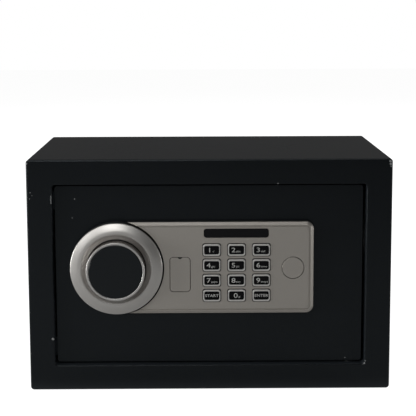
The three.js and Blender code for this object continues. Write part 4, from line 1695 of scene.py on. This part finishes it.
@dataclass
class Keypad:
    """Twelve keys, each a silver rim round a black face with a printed legend, and what lies behind."""

    lip: float = 0.95
    corner: float = 2.0
    rim_side: float = 0.95
    rim_end: float = 1.4
    sunk: float = 0.45
    figure: float = 5.7
    figure_left: float = -4.5
    figure_base: float = -1.9
    figure_wide: float = 1.3
    letters: float = 2.35
    letters_left: float = -0.5
    letters_wide: float = 1.25
    word: float = 3.3
    word_base: float = -1.15
    word_wide: float = 1.18
    word_bold: float = 0.02

    def build(self) -> None:
        """Builds and dresses every piece."""
        for name, legend in LEGENDS.items():
            self.key(name, legend)
        self.behind()

    def key(self, name: str, legend: Legend) -> None:
        """One key: its rim, its face and its legend.

        Args:
            name: the key's name.
            legend: what is printed on it.
        """
        node = "key_" + name
        low, high = node_box(node)
        middle = (low + high) / 2
        width, height = high.x - low.x - 2 * self.lip, high.z - low.z - 2 * self.lip
        outer = RoundedRect(width, height, self.corner, middle.x, middle.z)
        face_w, face_h = width - 2 * self.rim_side, height - 2 * self.rim_end
        inner = RoundedRect(face_w, face_h, 1.5, middle.x, middle.z)
        top, back = low.y, high.y
        face = top + self.sunk
        loops = outer.path([(self.lip, back), (self.lip, back - 0.8), (0, back - 0.8)], 0.2, 2)
        loops += outer.path([(0, back - 1.0), (0, top), (-0.75, top)], 0.7, 5)
        loops += inner.path([(0.3, top), (0, top), (0, face + 0.6), (0.2, face + 0.6)], 0.25, 3)
        loops += inner.path([(0.2, face + 0.7), (0.2, back)], 0, 1)
        rim = swept(node + "_rim", loops, closed=True)
        dressed(rim, KEY_SILVER, node, [node])
        section = [(-2, face + 0.5), (-0.02, face + 0.5), (-0.02, face + 0.02)]
        section += [(-1.2, face - 0.05), (-2.4, face - 0.06)]
        plate = swept(node + "_face", inner.path(section, 0.1, 3))
        dressed(plate, KEY_BLACK, node)
        self.legend(node, legend, middle, face - 0.05)

    def legend(self, node: str, legend: Legend, middle: Vector, y: float) -> None:
        """The printed legend of one key.

        Args:
            node: the key's node.
            legend: what is printed.
            middle: the key's middle, in millimetres.
            y: the depth of its face.
        """
        if legend.small:
            left, small_left = legend.shift + self.figure_left, legend.shift + self.letters_left
            base = self.figure_base
            parts = [
                self.text(legend.large, self.figure, left, base, 0.0, self.figure_wide),
                self.text(legend.small, self.letters, small_left, base, 0.0, self.letters_wide),
            ]
        else:
            word = (self.word, 0.0, self.word_base, self.word_bold, self.word_wide)
            parts = [self.text(legend.large, *word, centred=True)]
        printed = joined(node + "_legend", parts)
        printed.data.transform(Matrix.Translation(Vector((middle.x, y, middle.z)) * MM))
        dressed(printed, INK, node)

    @staticmethod
    def text(
        words: str, size: float, x: float, z: float, bold: float, wide: float, centred: bool = False
    ) -> bpy.types.Object:
        """Printed letters as a thin mesh that faces the front.

        Args:
            words: the letters.
            size: their size, in millimetres.
            x: where they start, or their middle.
            z: their baseline.
            bold: how much they are thickened, in millimetres.
            wide: how much they are widened.
            centred: whether x is their middle.

        Returns:
            The object.
        """
        curve = bpy.data.curves.new("letters", "FONT")
        curve.body = words
        curve.size = size * MM
        curve.align_x = "CENTER" if centred else "LEFT"
        curve.extrude = INK_DEPTH * MM
        curve.offset = bold * MM
        curve.resolution_u = 4
        curve.space_character = LETTER_SPACING
        source = bpy.data.objects.new("letters", curve)
        bpy.context.scene.collection.objects.link(source)
        bpy.context.view_layer.update()
        depsgraph = bpy.context.evaluated_depsgraph_get()
        mesh = bpy.data.meshes.new_from_object(source.evaluated_get(depsgraph))
        bpy.data.objects.remove(source)
        shape = bmesh.new()
        shape.from_mesh(mesh)
        turn = Matrix.Rotation(math.pi / 2, 4, "X") @ Matrix.Diagonal((wide, 1.0, 1.0, 1.0))
        turn = Matrix.Translation(Vector((x, 0, z)) * MM) @ turn
        bmesh.ops.transform(shape, verts=shape.verts, matrix=turn)
        return mesh_of("letters", shape)

    def behind(self) -> None:
        """The rubber mat under the keys, the board and the display module."""
        for node, name, edge, flats, finish, slot in (
            ("keypad_membrane", "membrane_sheet", 0.25, 2, GREY_RUBBER, "rubber"),
            ("keypad_board", "circuit_sheet", 0.1, 1, BOARD_GREEN, "circuit_board"),
            ("display_module", "display_block", 0.3, 2, BLACK_PLASTIC, "black_plastic"),
        ):
            dressed(refined(node, name, edge, flats), finish, "door", [node])


# ------------------------------------------------------------------ the dial
@dataclass
class Dial:
    """The dished ring on its black base, and the ribbed knob in it."""

    crest: float = 30.2
    throat: float = 25.5
    rib_count: int = 132
    rib: float = 0.42
    rim: float = 2.05
    base_bore: float = 28.8
    shaft_bore: float = 11.0
    web: float = 2.2
    ring_bore: float = 28.5
    hub_bore: float = 5.3
    hub: float = 9.0

    def build(self) -> None:
        """Builds and dresses every piece."""
        self.axis = Circle(*DIAL_CENTRE, 220)
        self.base()
        self.ring()
        self.knob()
        self.cap()

    def base(self) -> None:
        """The round black wall that the ring sits on."""
        low, high = node_box("dial_base")
        radius = (high.x - low.x) / 2
        web, bore, shaft = low.y + self.web, self.base_bore, self.shaft_bore
        section = [(radius, high.y), (radius, low.y), (bore, low.y), (bore, web)]
        section += [(shaft, web), (shaft, web + 2), (radius - 2, web + 2), (radius - 2, high.y)]
        base = swept("dial_wall", self.axis.path(section, 0.2, 2, closed=True), closed=True)
        dressed(base, BLACK_PLASTIC, "door", ["dial_base"])

    def ring(self) -> None:
        """The ring: a small rolled rim, a slope up to a rounded crest, and a dish down to the knob."""
        low, high = node_box("dial_ring")
        rim, top = (high.x - low.x) / 2, low.y
        seat = high.y - 1.7
        slope = smooth_line(
            [
                Vector((rim - 0.75, seat - 1.72, 0)),
                Vector((rim - 3.2, top + 1.2, 0)),
                Vector((self.crest + 3.0, top + 0.42, 0)),
                Vector((self.crest + 0.45, top + 0.02, 0)),
            ],
            6,
        )
        dish = smooth_line(
            [
                Vector((self.crest - 0.4, top + 0.12, 0)),
                Vector((self.crest - 2.0, top + 0.95, 0)),
                Vector((self.throat + 0.5, top + 1.75, 0)),
                Vector((self.throat, top + 2.2, 0)),
            ],
            5,
        )
        turn = [(rim, seat), (rim, seat - 0.9), (rim - 0.12, seat - 1.35), (rim - 0.4, seat - 1.62)]
        section = turn + [(point.x, point.y) for point in [*slope, *dish]]
        section += [(self.throat, high.y), (self.ring_bore, high.y), (self.ring_bore, seat)]
        ring = swept("dial_dish", self.axis.path(section, 0.0, 1, closed=True), closed=True)
        dressed(ring, RING_SILVER, "door", ["dial_ring"], 30.0)

    def knob(self) -> None:
        """The knob: a polished rim round a sunk face, a ribbed skirt, and its hub."""
        low, high = node_box("knob_body")
        radius, face, hub_end = (high.x - low.x) / 2, low.y, high.y
        skirt_end = hub_end - 1.1
        skirt = radius - 0.35
        bore, hub = self.hub_bore, self.hub
        inner, pocket = radius - self.rim, radius - 2.2
        section = [(bore, hub_end), (hub, hub_end), (hub, face + 3.5), (pocket, face + 3.5)]
        section += [(pocket, skirt_end), (skirt, skirt_end), (skirt, face + 1.9), (radius, face + 1.5)]
        section += [(radius, face), (inner, face), (inner, face + 1.6), (bore, face + 1.6)]
        knob = swept("knob_shell", self.axis.path(section, 0.55, 6, closed=True), closed=True)
        dressed(knob, KNOB_SILVER, "knob", ["knob_body"], 30.0)
        length = skirt_end - face - 2.4
        ribs = rib_ring(RIB_METAL).make(
            "knob_ribs",
            Count=self.rib_count,
            Radius=(skirt - 0.1) * MM,
            Rib=self.rib * MM,
            Length=length * MM,
            Centre=Vector((DIAL_CENTRE[0], face + 2.1 + length / 2, DIAL_CENTRE[1])) * MM,
        )
        dressed(ribs, RIB_METAL, "knob", angle=20.0)

    def cap(self) -> None:
        """The black disc let into the knob."""
        low, high = node_box("knob_cap")
        radius = (KNOB_HIGH.x - KNOB_LOW.x) / 2 - self.rim - 0.1
        section = [(0.5, high.y), (radius, high.y), (radius, low.y + 0.3)]
        section += [(radius - 0.5, low.y), (0.5, low.y)]
        disc = swept("knob_disc", self.axis.path(section, 0.25, 4))
        dressed(disc, GLOSS, "knob", ["knob_cap"])


# ------------------------------------------------------------------ the lock work
@dataclass
class LockWork:
    """What the knob and the emergency key turn, and the solenoid that bars it."""

    bolt_chamfer: float = 1.2
    winding_turns: float = 16.0
    cheek: float = 1.6
    bore: float = 4.3

    def build(self) -> None:
        """Builds and dresses every piece."""
        for node, body, finish, slot, edge in (
            ("knob_spindle", "knob", ZINC, "zinc_steel", 0.3),
            ("drive_crank", "knob", ZINC, "zinc_steel", 0.3),
            ("bolt_carrier", "bolts", ZINC, "zinc_steel", 0.25),
            ("bolt_guide", "door", INNER_PAINT, "painted_steel", 0.3),
            ("left_carrier_stud", "door", ZINC, "zinc_steel", 0.25),
            ("right_carrier_stud", "door", ZINC, "zinc_steel", 0.25),
            ("lock_barrel", "door", ZINC, "zinc_steel", 0.3),
            ("lock_nut", "door", ZINC, "zinc_steel", 0.4),
            ("lock_plug", "lock_plug", BRASS, "brass", 0.15),
            ("lock_cam", "lock_plug", ZINC, "zinc_steel", 0.25),
            ("solenoid_plunger", "plunger", ZINC, "zinc_steel", 0.3),
        ):
            dressed(refined(node, node + "_part", edge, 3), finish, body, [node])
        self.bolts()
        self.solenoid()

    def bolts(self) -> None:
        """The two round bolts, with turned lead-in ends."""
        for node in ("upper_bolt", "lower_bolt"):
            low, high = node_box(node)
            middle, radius, length = (low + high) / 2, (high.z - low.z) / 2, high.x - low.x
            cut = self.bolt_chamfer
            section = [(0, 0), (radius - cut - 0.3, 0), (radius - cut, 0.1), (radius - 0.15, cut)]
            section += [(radius, cut + 0.3), (radius, length - 0.4), (radius - 0.4, length), (0, length)]
            start, end = (low.x, middle.y, middle.z), (high.x, middle.y, middle.z)
            bolt = bar(node + "_bar", start, end, section, 96)
            dressed(bolt, ZINC, "bolts", [node])

    def solenoid(self) -> None:
        """The solenoid: its frame's plates and the winding between them."""
        low, high = node_box("solenoid_coil")
        middle = (low + high) / 2
        plunger = node_box("solenoid_plunger")
        axis_y = (plunger[0].y + plunger[1].y) / 2
        cheek, bore = self.cheek, self.bore
        plates = [
            box("cheek", (low.x, low.y, low.z), (high.x, high.y, low.z + cheek)),
            box("cheek", (low.x, low.y, high.z - cheek), (high.x, high.y, high.z)),
            box("cheek", (low.x, low.y, low.z), (high.x, low.y + cheek, high.z)),
        ]
        start, end = (middle.x, axis_y, low.z - 1), (middle.x, axis_y, low.z + cheek + 1)
        carved(plates[0], [bar("cut", start, end, [(0, 0), (bore, 0), (bore, 4), (0, 4)], 40)])
        iron = joined("solenoid_frame", [softened(plate, 0.3, 2) for plate in plates])
        dressed(iron, ZINC, "door", ["solenoid_coil"])
        bobbin_low, bobbin_high = low.z + cheek + 0.2, high.z - cheek - 0.2
        tall = bobbin_high - bobbin_low
        tube = [(bore, 0), (bore + 1, 0), (bore + 1, tall), (bore, tall), (bore, 0)]
        start, end = (middle.x, axis_y, bobbin_low), (middle.x, axis_y, bobbin_high)
        bobbin = bar("bobbin", start, end, tube, 48)
        dressed(bobbin, BLACK_PLASTIC, "door")
        wire = tall / self.winding_turns / 2
        winding = coil(COPPER_WIRE).make(
            "solenoid_winding",
            Turns=self.winding_turns - 1,
            Bottom=(bore + 1.2 + wire) * MM,
            Top=(bore + 1.2 + wire) * MM,
            Height=(tall - 2 * wire) * MM,
            Wire=wire * MM,
            Centre=Vector((middle.x, axis_y, bobbin_low + wire)) * MM,
        )
        dressed(winding, COPPER_WIRE, "door")


# ------------------------------------------------------------------ power
@dataclass
class PowerPack:
    """The battery tray with its cells and contacts, its door, the reset button and the wire loom."""

    wall: float = 1.2
    lead: float = 0.62
    lead_sides: int = 10
    twist: float = 16.0
    loom_z: float = 76.0
    cells: int = 4
    spring_least: float = 0.6

    def build(self) -> None:
        """Builds and dresses every piece."""
        tray = refined("battery_tray", "tray_box", 0.3, 2)
        dressed(tray, BLACK_PLASTIC, "door", ["battery_tray"])
        for number in range(1, self.cells + 1):
            self.cell(number)
        self.contacts()
        self.battery_door()
        self.reset_button()
        self.wires()

    def cell(self, number: int) -> None:
        """One AA cell: its sleeve with a crimped edge at each end, and its positive cap.

        Args:
            number: the cell's number.
        """
        node = f"battery_{number}"
        low, high = node_box(node)
        middle, radius = (low + high) / 2, (high.z - low.z) / 2
        length = high.x - low.x
        section = [(0, 0.35), (radius - 1.6, 0.3), (radius - 1.3, 0), (radius - 0.5, 0), (radius, 0.5)]
        section += [(radius, length - 1.5), (radius - 0.5, length - 1.05), (radius - 1.2, length - 1.0)]
        section += [(radius - 1.6, length - 1.25), (2.7, length - 1.25), (2.65, length - 0.25)]
        section += [(2.4, length), (0, length)]
        start, end = (low.x, middle.y, middle.z), (high.x, middle.y, middle.z)
        cell = bar(f"cell_{number}", start, end, section, 72)
        finish = CellSleeve(f"cell_sleeve_{number}", (0.03, 0.07, 0.12), 0.34, band_from=high.x - 14)
        dressed(cell, finish, "door", [node])

    def contacts(self) -> None:
        """A sprung contact at each cell's flat end where there is room for one."""
        tray = node_box("battery_tray")[0].x + self.wall
        for number in range(1, self.cells + 1):
            low, high = node_box(f"battery_{number}")
            middle = (low + high) / 2
            room = low.x - tray
            if room < self.spring_least:
                continue
            spring = coil(ZINC).make(
                f"contact_spring_{number}",
                Turns=2.0,
                Bottom=3.2 * MM,
                Top=2.0 * MM,
                Height=room * 0.8 * MM,
                Wire=0.25 * MM,
            )
            turn = Matrix.Rotation(math.pi / 2, 4, "Y")
            place = Matrix.Translation(Vector((tray + 0.3, middle.y, middle.z)) * MM)
            spring.data.transform(place @ turn)
            dressed(spring, ZINC, "door")

    def battery_door(self) -> None:
        """The battery door with its finger ribs."""
        low, high = node_box("battery_door")
        middle = (low + high) / 2
        outline = RoundedRect(high.x - low.x, high.z - low.z, 2.0, middle.x, middle.z)
        face = low.y + 1.8
        section = [(-4, low.y), (0, low.y), (0, face), (-4, face)]
        lid = swept("battery_lid", outline.path(section, 0.45, 4))
        dressed(lid, BLACK_PLASTIC, "battery_door", ["battery_door"])
        rib = softened(box("rib", (-0.4, -0.3, -8), (0.4, high.y - face, 8)), 0.25, 3)
        ribs = grid_of(rib, BLACK_PLASTIC).make(
            "battery_lid_ribs",
            Across=5,
            Up=1,
            Width=8 * MM,
            Centre=Vector((high.x - 12, face, middle.z)) * MM,
        )
        bpy.data.objects.remove(rib)
        dressed(ribs, BLACK_PLASTIC, "battery_door")

    def reset_button(self) -> None:
        """The red button that sets a new code."""
        low, high = node_box("reset_button")
        middle = (low + high) / 2
        reach = high.y - low.y
        section = [(0, 0), (2.1, 0.05), (2.7, 0.3), (3, 0.8), (3, 2.9), (4.5, 2.9), (4.5, 4.0), (3, 4.0)]
        section += [(3, reach), (0, reach)]
        button = bar("reset_key", (middle.x, high.y, middle.z), (middle.x, low.y, middle.z), section, 64)
        dressed(button, RED_PLASTIC, "reset_button", ["reset_button"])

    def routes(self) -> list[list[Vector]]:
        """The loom's two runs: from the board to the tray, and from there up to the solenoid.

        Returns:
            The points of each run, in millimetres.
        """
        board = node_box("keypad_board")[1].y
        tray = node_box("battery_tray")[0].y
        coil_side = node_box("solenoid_coil")[1].x
        door_back = node_box("door_plate")[1].y
        x, z = LOOM_X, self.loom_z
        to_tray = [(x, board + 0.3, z), (x, door_back - 3, z), (x, door_back + 3, z - 1)]
        to_tray += [(x, door_back + 9, z - 9), (x, tray - 3, z - 12), (x, tray - 0.3, z - 12)]
        to_coil = [(x + 1, door_back + 2.6, z - 1), (x + 12, door_back + 2.6, z + 1)]
        to_coil += [(x + 22, door_back + 2.6, z + 14), (x + 24, door_back + 2.6, z + 34)]
        to_coil += [(x + 23.5, door_back + 4, z + 47)]
        to_coil += [(coil_side + 2.7, door_back + 6, z + 52), (coil_side + 0.3, door_back + 6, z + 52)]
        return [[Vector(point) for point in route] for route in (to_tray, to_coil)]

    def wires(self) -> None:
        """Three leads twisted together along each run."""
        for lead_number, lead in enumerate(Lead):
            runs = [self.lead_mesh(route, lead_number) for route in self.routes()]
            wire = joined(f"loom_{lead.name.lower()}", runs)
            dressed(wire, lead.finish(), "door", ["wire_loom"])

    def lead_mesh(self, route: Sequence[Vector], number: int) -> bpy.types.Object:
        """One lead along a route, wound round the middle of the bundle.

        Args:
            route: the run's points, in millimetres.
            number: the lead's number, which sets where it starts in the twist.

        Returns:
            The object.
        """
        points = smooth_line(route, 12)
        shape = bmesh.new()
        rings = []
        travelled = 0.0
        for i, point in enumerate(points):
            ahead = points[min(i + 1, len(points) - 1)] - points[max(i - 1, 0)]
            along = ahead.normalized()
            side = along.cross(Vector((0.3, 1, 0.2))).normalized()
            other = along.cross(side)
            travelled += (point - points[i - 1]).length if i else 0.0
            turn = math.tau * (number / 3 + travelled / self.twist)
            middle = point + (side * math.cos(turn) + other * math.sin(turn)) * self.lead * 1.1
            ring = []
            for step in range(self.lead_sides):
                angle = math.tau * step / self.lead_sides
                arm = (side * math.cos(angle) + other * math.sin(angle)) * self.lead
                ring.append(shape.verts.new((middle + arm) * MM))
            rings.append(ring)
        for one, two in zip(rings, rings[1:]):
            for i in range(self.lead_sides):
                j = (i + 1) % self.lead_sides
                shape.faces.new((one[i], one[j], two[j], two[i]))
        shape.faces.new(rings[0])
        shape.faces.new(rings[-1])
        return mesh_of("lead", shape)


# ------------------------------------------------------------------ the studio
@dataclass(frozen=True)
class Softbox:
    """A soft area light that is aimed at the safe."""

    name: str
    place: tuple[float, float, float]
    watts: float
    size: tuple[float, float]
    aim: tuple[float, float, float] = (0.0, -0.09, 0.1)

    def hang(self) -> None:
        """Puts the light into the scene."""
        lamp = bpy.data.lights.new(self.name, "AREA")
        lamp.shape = "RECTANGLE"
        lamp.size, lamp.size_y = self.size
        lamp.energy = self.watts
        held = bpy.data.objects.new(self.name, lamp)
        held.location = self.place
        held.visible_camera = False
        held.rotation_euler = (Vector(self.aim) - Vector(self.place)).to_track_quat("-Z", "Y").to_euler()
        bpy.context.scene.collection.objects.link(held)


@dataclass(frozen=True)
class PaleFloor(Finish):
    """A matt white sweep, as bright as the backdrop to the camera, whose part near the safe glows in glossy
    rays: a painted reflection that puts highlights on the safe's folds and edges.
    """

    glow: float = 0.95
    painted_reflection: float = 0.55
    painted_reflection_ahead: float = 0.05
    near: float = 0.2
    far: float = 0.9
    face: tuple[float, float] = (-0.14, -0.09)

    def paint(self, g: Graph) -> None:
        """Fills the material's graph.

        Args:
            g: the graph.
        """
        cloud = g.noise(3.0, 2.0)
        colour = g.mix(self.shade(0.97), self.colour, cloud)
        seen = g.node("ShaderNodeLightPath", output="Is Camera Ray")
        away = g.node("ShaderNodeVectorMath", {"operation": "LENGTH"}, {0: g.place()}, "Value")
        _, deep, _ = g.axes()
        # Painted reflection: for glossy rays only, the floor glows faintly within far metres of the middle
        # and strongly beside the safe, behind the line of its front.
        ahead = away.ramp(self.far, self.near) * self.painted_reflection_ahead
        painted_reflection_beside = deep.ramp(*self.face) * self.painted_reflection
        painted_reflection = seen.out("Is Glossy Ray") * ahead.most(painted_reflection_beside)
        light = g.mix((0.0, 0.0, 0.0), (1.0, 1.0, 1.0), seen + painted_reflection)
        g.surface(
            base_color=colour,
            roughness=cloud.to(0.6, 0.7),
            emission_color=light,
            emission_strength=self.glow,
        )


@dataclass
class Studio:
    """The camera, the lights, the backdrop and the floor."""

    camera_place: tuple[float, float, float] = (-0.00824, -1.1932, 0.3247)
    turn_right: float = 0.3635
    tip_down: float = 8.649
    lean: float = -0.206
    lens: float = 113.0
    sensor: float = 36.0
    backdrop: float = 1.0
    fill: float = 0.045
    floor_half: float = 6.0
    floor_gap: float = 0.0004

    def build(self) -> None:
        """Sets everything up."""
        bpy.context.scene.view_settings.view_transform = "Standard"
        self.camera()
        self.lights()
        self.world()
        self.floor()

    def camera(self) -> None:
        """A long lens, square on and a little above."""
        turn, tip, lean = (math.radians(a) for a in (self.turn_right, self.tip_down, self.lean))
        ahead = Vector((math.sin(turn) * math.cos(tip), math.cos(turn) * math.cos(tip), -math.sin(tip)))
        right = Vector((math.cos(turn), -math.sin(turn), 0.0))
        up = right.cross(ahead)
        across = right * math.cos(lean) + up * math.sin(lean)
        upward = up * math.cos(lean) - right * math.sin(lean)
        rows = Matrix((across, upward, -ahead)).transposed().to_4x4()
        data = bpy.data.cameras.new("camera")
        data.lens = self.lens
        data.sensor_width = self.sensor
        camera = bpy.data.objects.new("camera", data)
        camera.matrix_world = Matrix.Translation(self.camera_place) @ rows
        bpy.context.scene.collection.objects.link(camera)
        bpy.context.scene.camera = camera

    def lights(self) -> None:
        """The key light at the upper left, smaller ones that shape each edge, and those behind."""
        for light in (
            Softbox("key_light", (-1.15, -1.45, 0.75), 5.4, (0.9, 0.9)),
            Softbox("front_light", (-0.3, -1.9, 1.0), 4.6, (0.5, 0.4)),
            Softbox("brow_light", (-0.2, -0.95, 1.35), 2.6, (1.2, 0.3)),
            Softbox("left_light", (-1.5, -0.7, 0.14), 9.0, (0.4, 0.4)),
            Softbox("side_light", (-2.0, -0.05, 0.5), 5.0, (1.0, 0.8)),
            Softbox("edge_light", (1.5, -0.72, 0.16), 2.4, (0.3, 0.4)),
            Softbox("top_light", (-0.1, 0.1, 1.6), 3.6, (1.6, 0.5)),
            Softbox("back_light", (0.0, 3.0, 0.75), 0.5, (4.0, 1.2)),
            Softbox("rear_left_light", (-1.5, 1.7, 1.5), 12.0, (0.8, 0.8)),
            Softbox("rear_right_light", (1.7, 1.5, 1.4), 16.0, (0.8, 0.8)),
        ):
            light.hang()

    def world(self) -> None:
        """A backdrop that is seen as white and that lights the safe only faintly."""
        world = bpy.data.worlds.new("backdrop")
        bpy.context.scene.world = world
        g = Graph(world)
        seen = g.node("ShaderNodeLightPath", output="Is Camera Ray")
        strength = seen * (self.backdrop - self.fill) + self.fill
        light = g.node("ShaderNodeBackground", inputs={"Color": (1.0, 1.0, 1.0, 1.0), "Strength": strength})
        g.node("ShaderNodeOutputWorld", inputs={"Surface": light})

    def floor(self) -> None:
        """A broad pale floor under the safe."""
        shape = bmesh.new()
        bmesh.ops.create_grid(shape, x_segments=8, y_segments=8, size=self.floor_half)
        floor = mesh_of("floor", shape)
        floor.location.z = CAD_BOX[0][2] - self.floor_gap
        floor.data.materials.append(PaleFloor("pale_floor", (0.5, 0.5, 0.5), 0.65).material())


def main() -> None:
    """Builds the studio and every sub-assembly in order."""
    logging.basicConfig(level=logging.INFO, format="%(message)s")
    Studio().build()
    for assembly in (Cabinet(), Door(), Fascia(), Keypad(), Dial(), LockWork(), PowerPack()):
        assembly.build()
        log.info("%s done", type(assembly).__name__)


if __name__ == "__main__":
    main()
